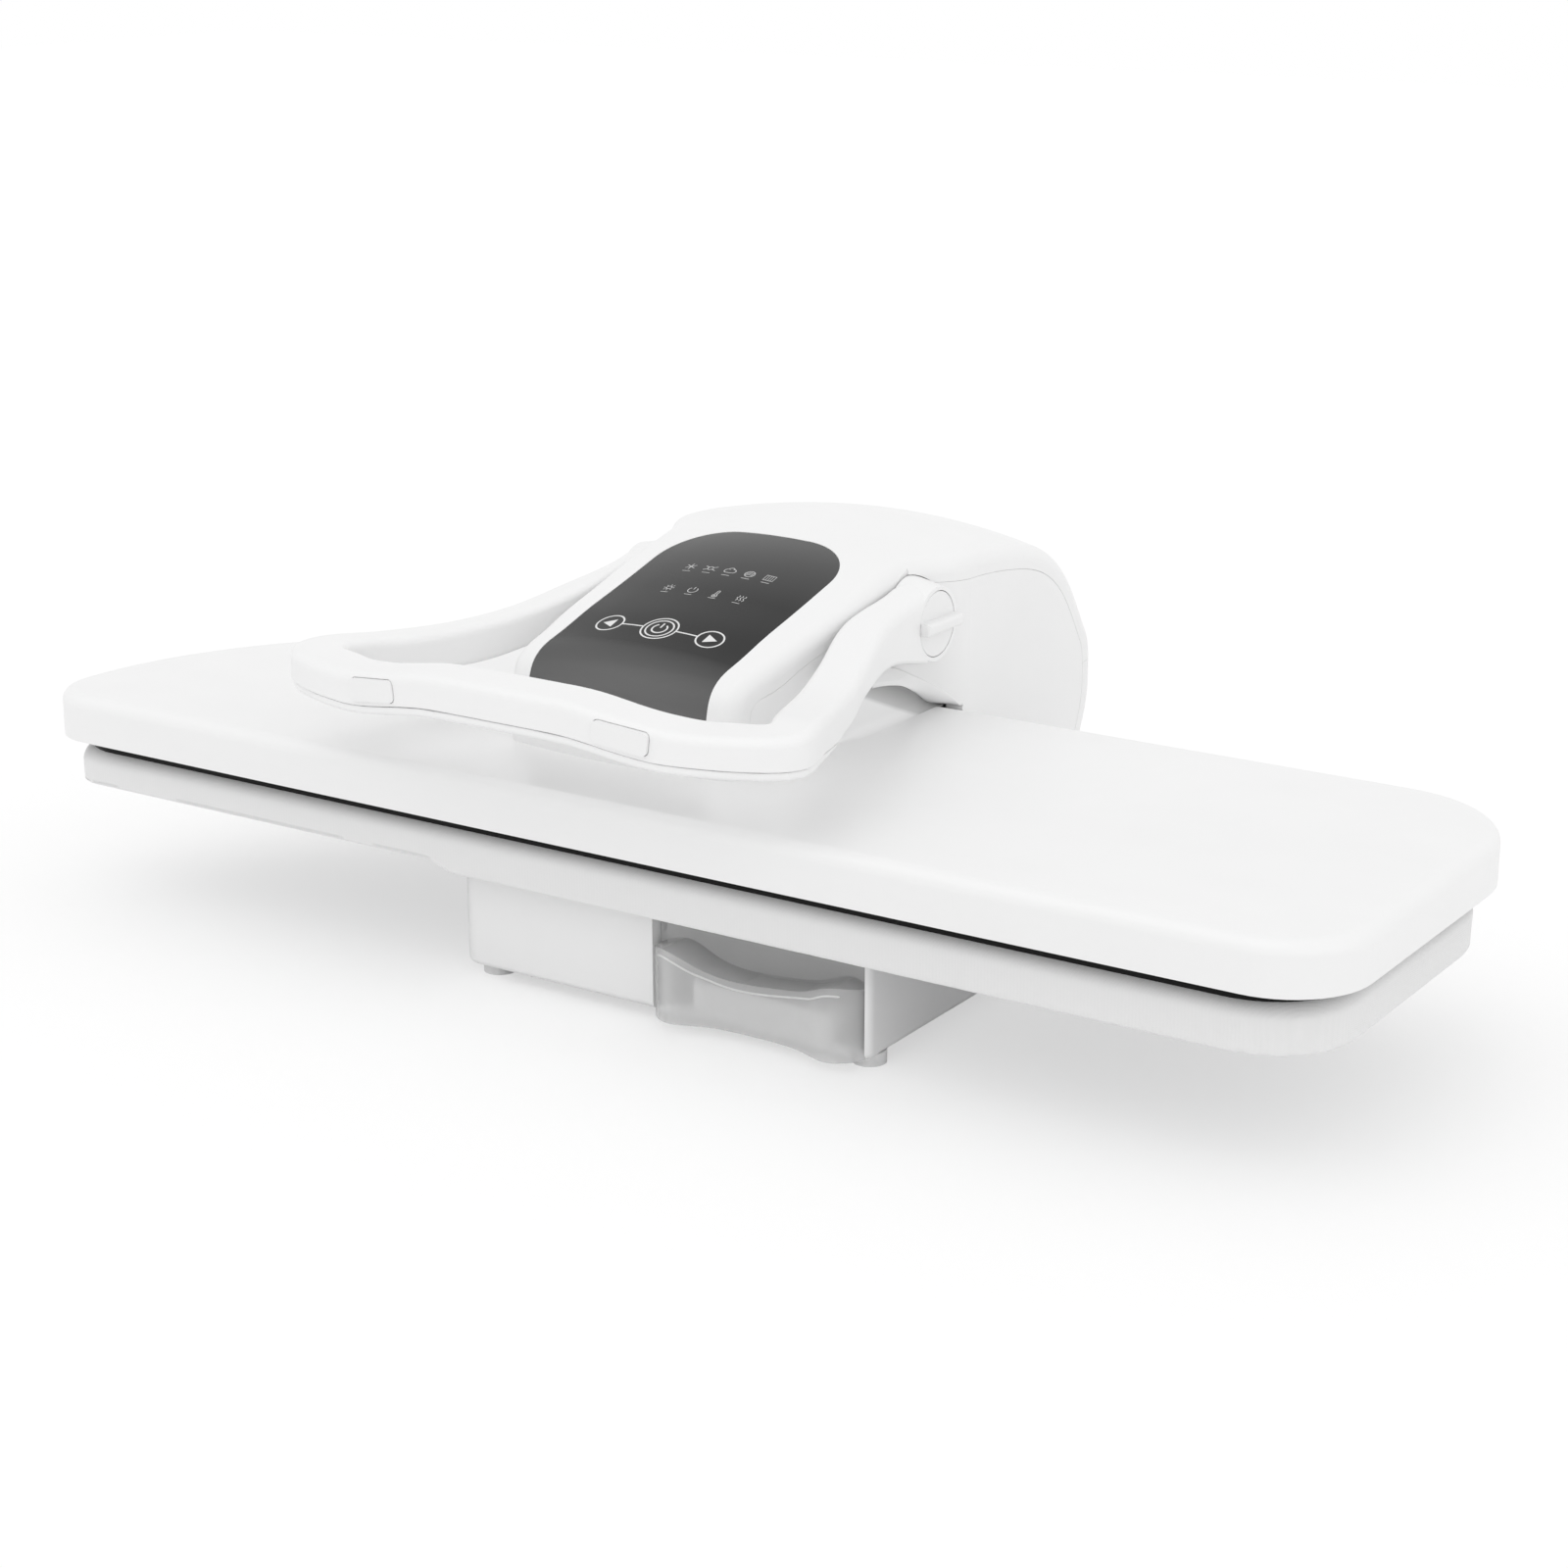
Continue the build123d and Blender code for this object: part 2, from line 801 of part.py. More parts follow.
def lever():
    """The lever's shells with their pockets, and what is let into them."""
    right_ear = ear_form(arm_x + ear_inner, arm_x + ear_outer, 0)
    ears = right_ear + mirrored(right_ear)
    upper = handle_loft(True) + ears
    lower = handle_loft(False)
    floor = button_depth + button_travel + button_clearance
    for sign in (1, -1):
        upper = upper - button_form(sign, button_clearance, -ear_radius, floor)
        upper = upper - switch_form(sign, floor, floor + switch_depth)
    knob_face = ear_outer + cut_over
    knob_floor = ear_outer - knob_sink
    upper = upper - axis_rod(knob_radius + knob_clearance, knob_floor, knob_face)
    stem_end = knob_floor - knob_stem_length - running_clearance
    upper = upper - axis_rod(knob_stem_radius + running_clearance, stem_end, knob_floor)
    upper = upper - axis_rod(handle_shaft_radius, ear_inner - cut_over, stem_end - shell_wall)
    upper = upper - axis_rod(handle_shaft_radius, -handle_shaft_inner_end, -ear_inner + cut_over)
    upper = upper - axis_rod(knob_radius, -knob_face, cap_thickness - ear_outer)
    save("handle_upper", upper)
    save("handle_lower", lower)
    shaft = axis_rod(handle_shaft_radius, -handle_shaft_inner_end, stem_end - shell_wall)
    save("handle_shaft", shaft)
    cap = axis_rod(knob_radius, -ear_outer - cap_crown, cap_thickness - ear_outer)
    rim = [e for e in cap.edges() if e.center().X < arm_x - ear_outer and e.geom_type == GeomType.CIRCLE]
    save("pivot_cap_left", chamfer(rim, cap_crown / 2))
    for sign, side in ((1, "right"), (-1, "left")):
        button = button_form(sign, 0, -button_proud, button_depth)
        save("steam_button_" + side, button)
    pair = [switch_form(sign, floor, floor + switch_depth) for sign in (1, -1)]
    save("steam_switches", Compound(children=pair))
    cams = axis_cam(1) + axis_cam(-1)
    save("press_cams", cams)
    save("lock_knob", knob())


def switch_form(sign, front, back):
    solid = extrude(Rectangle(switch_size, switch_size), back - front)
    place = Pos(arm_x + sign * button_spread, front_y - button_front, skirt_z + button_centre_rise)
    turn = Rot(0, 0, sign * button_plan_tilt) * Rot(0, sign * button_wave_tilt, 0) * Rot(-90, 0, 0)
    return place * turn * Pos(0, 0, front) * solid


def axis_rod(radius, start, end):
    """A rod on the lever's pivot axis, between two distances from the arm's middle."""
    return rod(radius, (arm_x + start, pivot_y, pivot_z), (arm_x + end, pivot_y, pivot_z))


def axis_cam(sign):
    """A cam on the lever's shaft that presses on the bridge's pad."""
    inner, outer = sign * cam_spread - cam_width / 2, sign * cam_spread + cam_width / 2
    hub = axis_rod(cam_hub, inner, outer)
    pad_z = cover_top_z + bridge_thickness + pad_height
    tip_z = pad_z + cam_gap + cam_tip
    tip = rod(cam_tip, (arm_x + inner, pivot_y, tip_z), (arm_x + outer, pivot_y, tip_z))
    web = side_prism(
        [
            (pivot_y - cam_hub, pivot_z),
            (pivot_y + cam_hub, pivot_z),
            (pivot_y + cam_tip, tip_z),
            (pivot_y - cam_tip, tip_z),
        ],
        arm_x + inner,
        arm_x + outer,
    )
    return hub + web + tip - axis_rod(handle_shaft_radius, inner - cut_over, outer + cut_over)


def knob():
    """The lock knob: a disc let into the ear, with a finger bar and a stem."""
    floor = ear_outer - knob_sink + knob_floor_gap
    disc = axis_rod(knob_radius, floor, ear_outer)
    disc = fillet([e for e in disc.edges() if abs(e.center().X - arm_x - ear_outer) < small_round
                   and e.geom_type == GeomType.CIRCLE], small_round)
    stem = axis_rod(knob_stem_radius, floor - knob_stem_length, floor)
    bar = block(
        arm_x + ear_outer - small_round,
        arm_x + ear_outer + knob_bar_height,
        pivot_y - knob_radius - cut_over,
        pivot_y + knob_radius + cut_over,
        pivot_z - knob_bar_width / 2,
        pivot_z + knob_bar_width / 2,
    )
    bar = bar & axis_rod(knob_radius, ear_outer - knob_sink, ear_outer + 2 * knob_bar_height)
    top = bar.edges().group_by(Axis.X)[-1]
    bar = fillet(top, knob_bar_width / 3)
    return disc + stem + bar


def hood():
    """The hood's shells, the touch panel and what hangs behind it."""
    wide = drum_half_width + hood_edge_radius
    outer = housing_solid()
    cavity = housing_cavity()
    shell = outer - cavity
    for sign in (1, -1):
        inner_end = sign * (recess_inner - 2 * shell_wall)
        outer_end = sign * (recess_inner + cut_over)
        hole = axis_rod(handle_shaft_radius + ear_clearance, min(inner_end, outer_end), max(inner_end, outer_end))
        shell = shell - hole
    deep = hood_loft(side_panel_drop, wide)
    deeper = hood_loft(side_panel_drop + part_line, wide)
    band = shell - deep
    line_angle = math.degrees(part_line / drum_radius)
    behind = rear_sector(back_cover_start_angle, cavity_end_angle)
    back = band & rear_sector(back_cover_start_angle + line_angle, back_cover_end_angle)
    top = band - behind
    sides = shell & deeper
    flange = block(
        arm_x - rear_flange,
        arm_x + rear_flange,
        front_y + rear_flange_start,
        hinge_y + 2 * drum_radius,
        0,
        cover_top_z + drum_radius,
    )
    sides = sides - flange
    glass_top = hood_loft(panel_sink, wide)
    glass_floor = hood_loft(panel_sink + panel_glass, wide)
    glass = (glass_top - glass_floor) & panel_tab(0)
    pocket = panel_tab(panel_clearance) - glass_floor
    top = top - pocket
    save("head_top_cover", biggest(top))
    save("head_back_cover", biggest(back))
    save("control_panel_glass", biggest(glass))
    far = block(arm_x, arm_x + 2 * wide, front_y, hinge_y + 2 * drum_radius, 0, cover_top_z + 2 * drum_radius)
    save("head_side_right", biggest(sides & far))
    save("head_side_left", biggest(sides - far))
    return cavity


def biggest(shape):
    """The largest solid of a shape, without slivers."""
    return max(shape.solids(), key=lambda s: s.volume)


def arch_guards():
    """Dark liners that close the housing's side behind each arch."""
    places = [
        (hinge_y - reach * hood_reach, cover_top_z + up * hood_rise - guard_gap)
        for reach, up in arch_shares
    ]
    x0 = arm_x + arch_half_width
    line = Spline(*[Vector(x0, y, z) for y, z in places])
    plate = extrude(Face(Wire([line, Line(line @ 1, line @ 0)])), guard_thickness, dir=(1, 0, 0))
    keep = block(
        x0 - cut_over,
        x0 + cut_over,
        hinge_y - hood_reach * hood_plan_shares[3][0],
        hinge_y - hood_reach * hood_plan_shares[6][0],
        cover_top_z + guard_gap,
        pivot_z,
    )
    right = plate & keep
    save("arch_guards", Compound(children=[right, mirrored(right)]))


def control_board(roof):
    """The touch panel's circuit board, its chips and the posts that hold it."""
    tilt = Pos(arm_x, front_y + control_board_back, skirt_z + control_board_rise) * Rot(control_board_tilt, 0, 0)
    plate = tilt * Box(control_board_width, control_board_length, control_board_thickness)
    chips = []
    for sx, sy in ((-1, -1), (1, -1), (0, 1), (-1, 1)):
        x = sx * control_board_width / 4
        y = sy * control_board_length / 4
        z = -(control_board_thickness + chip_height) / 2
        chips.append(tilt * Pos(x, y, z) * Box(chip_size, chip_size, chip_height))
    save("control_board", Compound(children=[plate] + chips))
    posts = []
    for sx in (-1, 1):
        for sy in (-1, 1):
            x = sx * (control_board_width / 2 - post_inset)
            y = sy * (control_board_length / 2 - post_inset)
            post = tilt * Pos(x, y, control_board_thickness / 2) * Cylinder(
                post_radius, drum_half_width, align=(Align.CENTER, Align.CENTER, Align.MIN)
            )
            posts.append((post & roof).solids()[0])
    save("board_posts", Compound(children=posts))


def press_cover():
    """The long white shell over the hot plate."""
    outer = rise(cover_outline(0), skirt_z, cover_top_z)
    outer = fillet(outer.faces().sort_by(Axis.Z)[-1].edges(), cover_rise)
    inner = rise(cover_outline(cover_wall), skirt_z - cut_over, cover_top_z - cover_wall)
    shell = outer - inner
    for x, y in post_places():
        shell = shell - rod(screw_radius * 2, (x, y, skirt_z), (x, y, cover_top_z + cut_over))
    x, y = hose_place()
    shell = shell - rod(hose_radius + part_line, (x, y, skirt_z), (x, y, cover_top_z + cut_over))
    save("press_cover", shell)


def post_places():
    return [
        (arm_x + side * plate_post_spread, front_y + back)
        for side in (-1, 1)
        for back in (plate_post_front, plate_post_back)
    ]


def hose_place():
    return arm_x, front_y + (plate_post_front + plate_post_back) / 2


def sole_plate():
    """The hot plate, drilled for steam, with the posts that carry it."""
    top = plate_z + plate_thickness
    plate = rise(plate_outline(0), plate_z, top)
    posts = [rod(plate_post_radius, (x, y, top - cut_over), (x, y, cover_top_z - cover_wall)) for x, y in post_places()]
    for post in posts:
        plate = plate + post
    holes = []
    inside = rise(plate_outline(steam_hole_inset / 4), plate_z, top)
    middle = front_y + cover_depth / 2
    for column in range(steam_columns):
        for row in range(steam_rows):
            shift = steam_hole_pitch / 2 if row % 2 else 0
            x = left_x + steam_hole_inset + shift + column * steam_hole_pitch
            y = middle + (row - (steam_rows - 1) / 2) * steam_row_pitch
            if inside.is_inside(Vector(x, y, plate_z + plate_thickness / 2)):
                holes.append(rod(steam_hole_radius, (x, y, plate_z - cut_over), (x, y, top + cut_over)))
    kept = [h for h in holes if clear_of_posts(h.center())]
    plate = plate - kept
    pilot_low = top
    for x, y in post_places():
        plate = plate - rod(screw_radius, (x, y, pilot_low), (x, y, cover_top_z))
    save("sole_plate", plate)
    return top


def clear_of_posts(place):
    reach = plate_post_radius + 2 * steam_hole_radius
    return all(math.hypot(place.X - x, place.Y - y) > reach for x, y in post_places())


def plate_stack(top):
    """The heater, the steam chamber's lid, the insulation and the safety parts on the plate."""
    x0 = left_x + plate_tip_inset + element_inset
    y0 = front_y + cover_wall + plate_gap + element_inset
    y1 = front_y + cover_depth - plate_back_inset - element_inset
    nose = nose_length - plate_tip_inset - element_inset
    tip = tip_radius - element_inset
    end_x = right_x - plate_end_inset - element_end_inset
    z = top + element_radius
    edges = [
        Line((end_x, y0), (x0 + tip, y0)),
        CenterArc((x0 + tip, y0 + tip), tip, 270, -90),
        EllipticalCenterArc((x0 + nose, y0 + tip), nose, y1 - y0 - tip, start_angle=90, arc_size=90),
        Line((x0 + nose, y1), (end_x, y1)),
    ]
    path = Pos(0, 0, z) * Wire(edges)
    start = Plane(origin=(end_x, y0, z), z_dir=(-1, 0, 0))
    element = sweep(start * Circle(element_radius), path=path)
    save("heating_element", element)

    def chamber(inset):
        return wing(
            x0 + chamber_inset + inset,
            right_x - chamber_end_inset - inset,
            y0 + chamber_inset / 2 + inset,
            y1 - chamber_inset / 2 - inset,
            tip - inset,
            tip - inset,
            tip - inset,
            nose - chamber_inset - inset,
        )

    lid = rise(chamber(0), top, top + chamber_height)
    hollow = rise(chamber(chamber_wall), top - cut_over, top + chamber_height - chamber_wall)
    sheet = rise(chamber(0), top + chamber_height, top + chamber_height + insulation)
    lid = lid - hollow
    for x, y in post_places():
        hole = rod(plate_post_radius + part_line, (x, y, top), (x, y, cover_top_z))
        lid = lid - hole
        sheet = sheet - hole
    x, y = hose_place()
    lid = lid - rod(hose_bore, (x, y, top), (x, y, cover_top_z))
    sheet = sheet - rod(hose_radius + part_line, (x, y, top), (x, y, cover_top_z))
    save("steam_chamber_cover", lid)
    save("insulation_sheet", sheet)
    place_x = right_x - thermostat_end_inset
    place_y = front_y + thermostat_back
    body = rod(thermostat_radius, (place_x, place_y, top), (place_x, place_y, top + thermostat_height))
    save("thermostat", body)
    fuse_y = front_y + fuse_back
    fuse_z = top + fuse_clip_wall + fuse_radius
    fuse = rod(fuse_radius, (place_x - fuse_length / 2, fuse_y, fuse_z), (place_x + fuse_length / 2, fuse_y, fuse_z))
    clip = block(
        place_x - fuse_length / 4,
        place_x + fuse_length / 4,
        fuse_y - fuse_radius - fuse_clip_wall,
        fuse_y + fuse_radius + fuse_clip_wall,
        top,
        fuse_z,
    )
    clip = clip - rod(fuse_radius, (place_x - fuse_length, fuse_y, fuse_z), (place_x + fuse_length, fuse_y, fuse_z))
    save("thermal_fuse", Compound(children=[fuse, clip]))


def head_frame():
    """Bridge, arm plates, ties, bushes and the screws that hold the plate to them."""
    top = cover_top_z + bridge_thickness
    bridge = block(
        arm_x - bridge_half_width,
        arm_x + bridge_half_width,
        front_y + bridge_front,
        front_y + bridge_back,
        cover_top_z,
        top,
    )
    for sign in (1, -1):
        middle = arm_x + sign * cam_spread
        bridge = bridge + block(
            middle - cam_width / 2,
            middle + cam_width / 2,
            pivot_y - pad_length / 2,
            pivot_y + pad_length / 2,
            cover_top_z,
            top + pad_height,
        )
    for x, y in post_places():
        bridge = bridge - rod(screw_radius, (x, y, cover_top_z - cut_over), (x, y, top + cut_over))
    x, y = hose_place()
    bridge = bridge - rod(hose_radius + part_line, (x, y, cover_top_z - cut_over), (x, y, top + cut_over))
    save("press_bridge", bridge)
    save("plate_screws", screws(post_places(), top + screw_head_height, plate_screw_length, down=False))
    tie_places = [
        (front_y + bridge_front + 2 * hub_radius / 2, top + hub_radius / 2 + tie_radius),
        (front_y + cover_depth, hinge_z + 3 * hub_radius),
    ]
    inner, outer = arm_half_spread, arm_half_spread + arm_plate_thickness
    points = [
        (front_y + bridge_front, top),
        (front_y + cover_depth + hub_radius / 3, top),
        (hinge_y - hub_radius / 2, hinge_z - hub_radius * 3 / 4),
        (hinge_y + hub_radius / 2, hinge_z + hub_radius * 3 / 4),
        (pivot_y + hub_radius, pivot_z + hub_radius / 2),
        (pivot_y - hub_radius / 2, pivot_z + hub_radius * 3 / 4),
        (front_y + bridge_front, top + hub_radius),
    ]
    plate = side_prism(points, arm_x + inner, arm_x + outer)
    plate = plate + rod(hub_radius, (arm_x + inner, hinge_y, hinge_z), (arm_x + outer, hinge_y, hinge_z))
    hinge_bore = hinge_shaft_radius + running_clearance + bush_wall
    pivot_bore = handle_shaft_radius + running_clearance + bush_wall
    reach = (arm_x + inner - cut_over, arm_x + outer + cut_over)
    plate = plate - rod(hinge_bore, (reach[0], hinge_y, hinge_z), (reach[1], hinge_y, hinge_z))
    plate = plate - rod(pivot_bore, (reach[0], pivot_y, pivot_z), (reach[1], pivot_y, pivot_z))
    save("arm_plate_right", plate)
    save("arm_plate_left", mirrored(plate))
    ties = [rod(tie_radius, (arm_x - inner, y, z), (arm_x + inner, y, z)) for y, z in tie_places]
    save("arm_ties", Compound(children=ties))
    for name, bore, shaft, y, z in (
        ("hinge_bushes", hinge_bore, hinge_shaft_radius, hinge_y, hinge_z),
        ("handle_bushes", pivot_bore, handle_shaft_radius, pivot_y, pivot_z),
    ):
        right = pipe(bore, shaft + running_clearance, (arm_x + inner, y, z), (arm_x + outer, y, z))
        flange = pipe(
            bore + bush_flange_out,
            shaft + running_clearance,
            (arm_x + outer, y, z),
            (arm_x + outer + bush_flange, y, z),
        )
        bush = right + flange
        save(name, Compound(children=[bush, mirrored(bush)]))


def steam_hose():
    """The hose from the steam chamber up through the bridge and back towards the hinge."""
    x, y = hose_place()
    low = plate_z + plate_thickness + chamber_height
    knee = cover_top_z + bridge_thickness + hub_radius
    path = FilletPolyline(
        (x, y, low),
        (x, y, knee),
        (x, hinge_y - 3 * hub_radius, knee),
        (x, hinge_y - hub_radius, hinge_z + 2 * hub_radius),
        radius=3 * hose_radius,
    )
    save("steam_hose", tube_along(path))


def tube_along(path):
    start = Plane(origin=path @ 0, z_dir=path % 0)
    return sweep(start * Circle(hose_radius), path=path) - sweep(start * Circle(hose_bore), path=path)


def board():
    """The ironing board: its pan, the foam and the fabric drawn over both."""
    outer = board_form(0, 0, board_top_z)
    inner = board_form(fabric, fabric, board_top_z - fabric)
    hem = rise(board_outline(hem_width), board_z - cut_over, board_z + 2 * tray_step_rise)
    save("pad_cover", outer - inner - hem)
    wall = fabric + tray_wall
    tray = board_form(fabric + soft_gap, fabric, board_z + fabric + tray_height)
    tray = tray - board_form(wall + soft_gap, wall, board_top_z)
    save("board_tray", tray)
    save("foam_pad", board_form(wall + 2 * soft_gap, wall + soft_gap, board_top_z - fabric - soft_gap))


def base_outline(inset):
    """Plan of the base box: wide corners on the left, tight ones on the right."""
    x0, x1 = base_x0 + inset, base_x1 - inset
    y0, y1 = base_y0 + inset, base_y1 - inset
    left = base_left_corner - inset
    right = max(base_right_corner - inset, small_round)
    edges = [
        Line((x0 + left, y0), (x1 - right, y0)),
        CenterArc((x1 - right, y0 + right), right, 270, 90),
        Line((x1, y0 + right), (x1, y1 - right)),
        CenterArc((x1 - right, y1 - right), right, 0, 90),
        Line((x1 - right, y1), (x0 + left, y1)),
        CenterArc((x0 + left, y1 - left), left, 90, 90),
        Line((x0, y1 - left), (x0, y0 + left)),
        CenterArc((x0 + left, y0 + left), left, 180, 90),
    ]
    return make_face(Wire(edges))


def base():
    """The base box with its tank bay and tongue, its bottom cover, feet and screws."""
    floor_z = base_floor_z
    body = rise(base_outline(0), floor_z, base_top_z)
    low_edges = body.faces().sort_by(Axis.Z)[0].edges()
    body = fillet(low_edges, base_bottom_round)
    body = body + rise(base_outline(-base_rim_out), base_top_z - base_rim_height, base_top_z)
    top = hinge_z - tongue_top_drop
    low = top - tongue_height
    tongue_y1 = front_y + tongue_back
    tongue = block(arm_x - tongue_half_width, arm_x + tongue_half_width, base_y1 - base_wall, tongue_y1, low, top)
    body = body + tongue
    lip = base_wall + base_bottom_round
    ceiling = base_top_z - base_wall
    hollow = rise(base_outline(base_wall), floor_z + base_bottom_round, ceiling)
    hollow = hollow + rise(base_outline(lip), floor_z - cut_over, floor_z + lip)
    hollow = hollow + block(
        arm_x - tongue_half_width + base_wall,
        arm_x + tongue_half_width - base_wall,
        base_y1 - 2 * base_wall,
        tongue_y1 - base_wall,
        low + base_wall,
        top - base_wall,
    )
    bay_x0, bay_x1 = tank_x0 - tank_clearance, tank_x1 + tank_clearance
    bay_y1 = base_y0 + tank_depth + tank_clearance
    walls = block(
        bay_x0 - bay_wall, bay_x0, base_y0 + base_wall, bay_y1 + bay_wall, floor_z + bottom_plate, ceiling
    ) + block(bay_x0, base_x1 - base_wall, bay_y1, bay_y1 + bay_wall, floor_z + bottom_plate, ceiling)
    hollow = hollow - walls
    bosses = boss_places()
    for x, y in bosses:
        hollow = hollow - rod(boss_radius, (x, y, floor_z + bottom_plate), (x, y, ceiling))
    body = body - hollow
    for x, y in bosses:
        body = body - rod(screw_radius, (x, y, floor_z), (x, y, floor_z + bottom_plate + bottom_screw_length))
    bay_floor = floor_z + bottom_plate + running_clearance
    front = base_y0 - base_rim_out - cut_over
    body = body - block(bay_x0, bay_x1, front, bay_y1, bay_floor, ceiling)
    body = body - block(bay_x0, bay_x1, front, base_y0 + tank_hang_run + cut_over, floor_z - cut_over, base_top_z + cut_over)
    socket_y = base_y0 + tank_depth + tank_clearance
    spigot_z = tank_z0() + spigot_rise
    body = body - rod(
        spigot_radius + seal_ring + tank_clearance,
        (tank_x, socket_y - cut_over, spigot_z),
        (tank_x, socket_y + bay_wall + cut_over, spigot_z),
    )
    gland_x = left_x + gland_place
    gland_z = floor_z + gland_rise
    body = body - rod(gland_radius, (gland_x, base_y1 - 2 * base_wall, gland_z), (gland_x, base_y1 + cut_over, gland_z))
    save("base_housing", biggest(body))
    plate = rise(base_outline(lip + bottom_clearance), floor_z, floor_z + bottom_plate)
    plate = plate - block(
        bay_x0 - bottom_clearance, base_x1, base_y0, base_y0 + tank_hang_run + cut_over, floor_z - cut_over, bay_floor
    )
    for x, y in bosses:
        plate = plate - rod(screw_radius, (x, y, floor_z - cut_over), (x, y, bay_floor))
    save("base_bottom_cover", plate)
    save("base_screws", screws(bosses, floor_z - screw_head_height, bottom_screw_length))
    feet = [
        rod(foot_radius, (x, y, 0), (x, y, foot_height))
        for x in (base_x0 + foot_left_inset, base_x1 - foot_right_inset)
        for y in (base_y0 + foot_front_inset, base_y1 - foot_back_inset)
    ]
    save("rubber_feet", Compound(children=feet))
    bore = (gland_x, base_y1 - base_wall - gland_inner_length, gland_z)
    out = (gland_x, base_y1 + gland_flange_length, gland_z)
    gland = rod(gland_radius, bore, out) + rod(gland_flange, (gland_x, base_y1, gland_z), out)
    save("cord_gland", gland - rod(gland_bore, bore, out))


def boss_places():
    behind = base_y0 + tank_depth + boss_inset
    return [
        (base_x0 + boss_inset, base_y0 + boss_inset),
        (base_x0 + boss_inset, base_y1 - boss_inset),
        (tank_x0 - boss_inset, base_y0 + boss_inset),
        (base_x1 - boss_inset, behind),
    ]


def tank_z0():
    return base_floor_z + bottom_plate + tank_floor_gap


def tank_plan(inset):
    """Plan of the tank: a wavy front with a bulge at each end."""
    width = tank_width - 2 * inset
    line = Spline(
        *[
            Vector(tank_x0 + inset + share * width, base_y0 + inset - out * tank_bulge)
            for share, out in tank_front_shares
        ]
    )
    y1 = base_y0 + tank_depth - inset
    x0, x1 = tank_x0 + inset, tank_x1 - inset
    edges = [line, Line(line @ 1, (x1, y1)), Line((x1, y1), (x0, y1)), Line((x0, y1), line @ 0)]
    return make_face(Wire(edges))


def tank_behind(inset):
    """Plan of everything behind the grip's shallow curve."""
    over = base_wall
    x0, x1 = tank_x0 - over, tank_x1 + over
    line = ThreePointArc(
        Vector(x0, base_y0 + tank_grip_front + inset),
        Vector(tank_x, base_y0 + tank_grip_back + inset),
        Vector(x1, base_y0 + tank_grip_front + inset),
    )
    y1 = base_y0 + tank_depth + over
    edges = [line, Line(line @ 1, (x1, y1)), Line((x1, y1), (x0, y1)), Line((x0, y1), line @ 0)]
    return make_face(Wire(edges))


def tank_form(inset, low, high):
    """The tank's form: full plan under the pull ledge, scooped back above it."""
    full = rise(tank_plan(inset), low, high)
    places = [
        Vector(tank_x0 + share * tank_width, base_y0 - tank_bulge - cut_over, tank_z0() + up * tank_height - inset)
        for share, up in tank_ledge_shares
    ]
    line = Spline(*places)
    a, b = line @ 0, line @ 1
    roof = high + cut_over
    corners = [
        a,
        Vector(a.X - cut_over, a.Y, a.Z),
        Vector(a.X - cut_over, a.Y, roof),
        Vector(b.X + cut_over, a.Y, roof),
        Vector(b.X + cut_over, a.Y, b.Z),
        b,
    ]
    edges = [line] + [Edge.make_line(p, q) for p, q in zip(corners, corners[1:])]
    above = extrude(Face(Wire(edges)), tank_depth / 2, dir=(0, 1, 0))
    scoop = above - rise(tank_behind(inset), low - cut_over, roof + cut_over)
    return full - scoop


def tank():
    """The water tank: tub, lid, filler cap, spigot and its seal."""
    low = tank_z0()
    high = low + tank_height
    tub = tank_form(0, low, high) - tank_form(tank_wall, low + tank_wall, high + cut_over)
    hang = rise(tank_plan(0), low - tank_hang, low + tank_wall)
    hang = hang & block(
        tank_x0, tank_x1, base_y0 - 2 * tank_bulge, base_y0 + tank_hang_run, 0, board_z
    )
    tub = tub + hang
    spigot_z = low + spigot_rise
    rear = base_y0 + tank_depth
    tub = tub - rod(spigot_radius, (tank_x, rear - 2 * tank_wall, spigot_z), (tank_x, rear + cut_over, spigot_z))
    save("tank_tub", biggest(tub))
    lid = rise(tank_plan(0), high, high + lid_thickness) & rise(tank_behind(0), high, high + lid_thickness)
    x, y = tank_x0 + filler_side, base_y0 + filler_back
    lid = lid - rod(filler_radius - tank_wall, (x, y, high - cut_over), (x, y, high + lid_thickness + cut_over))
    save("tank_lid", lid)
    cap_z = high + lid_thickness
    cap = rod(filler_radius, (x, y, cap_z), (x, y, cap_z + cap_height))
    cap = cap + rod(filler_radius - tank_wall - running_clearance, (x, y, high - tank_wall), (x, y, cap_z))
    save("tank_cap", cap)
    pipe_ends = ((tank_x, rear - tank_wall, spigot_z), (tank_x, rear + spigot_length, spigot_z))
    save("tank_spigot", pipe(spigot_radius, spigot_bore, *pipe_ends))
    seal_y = rear + seal_place
    seal = Pos(tank_x, seal_y, spigot_z) * Rot(90, 0, 0) * Torus(spigot_radius + seal_ring, seal_ring)
    save("tank_seal", seal)
    bore = spigot_radius + 2 * seal_ring + button_clearance
    bay_back = rear + tank_clearance + bay_wall
    socket = pipe(
        bore + socket_wall, bore, (tank_x, bay_back, spigot_z), (tank_x, bay_back + socket_length, spigot_z)
    )
    back = rod(
        bore + socket_wall,
        (tank_x, bay_back + socket_length, spigot_z),
        (tank_x, bay_back + socket_length + socket_wall, spigot_z),
    )
    nose_end = bay_back + socket_length + socket_wall + socket_length / 2
    nose = rod(hose_bore, (tank_x, bay_back + socket_length + socket_wall, spigot_z), (tank_x, nose_end, spigot_z))
    save("dock_socket", socket + back + nose)
    return (tank_x, bay_back + socket_length + socket_wall, spigot_z)


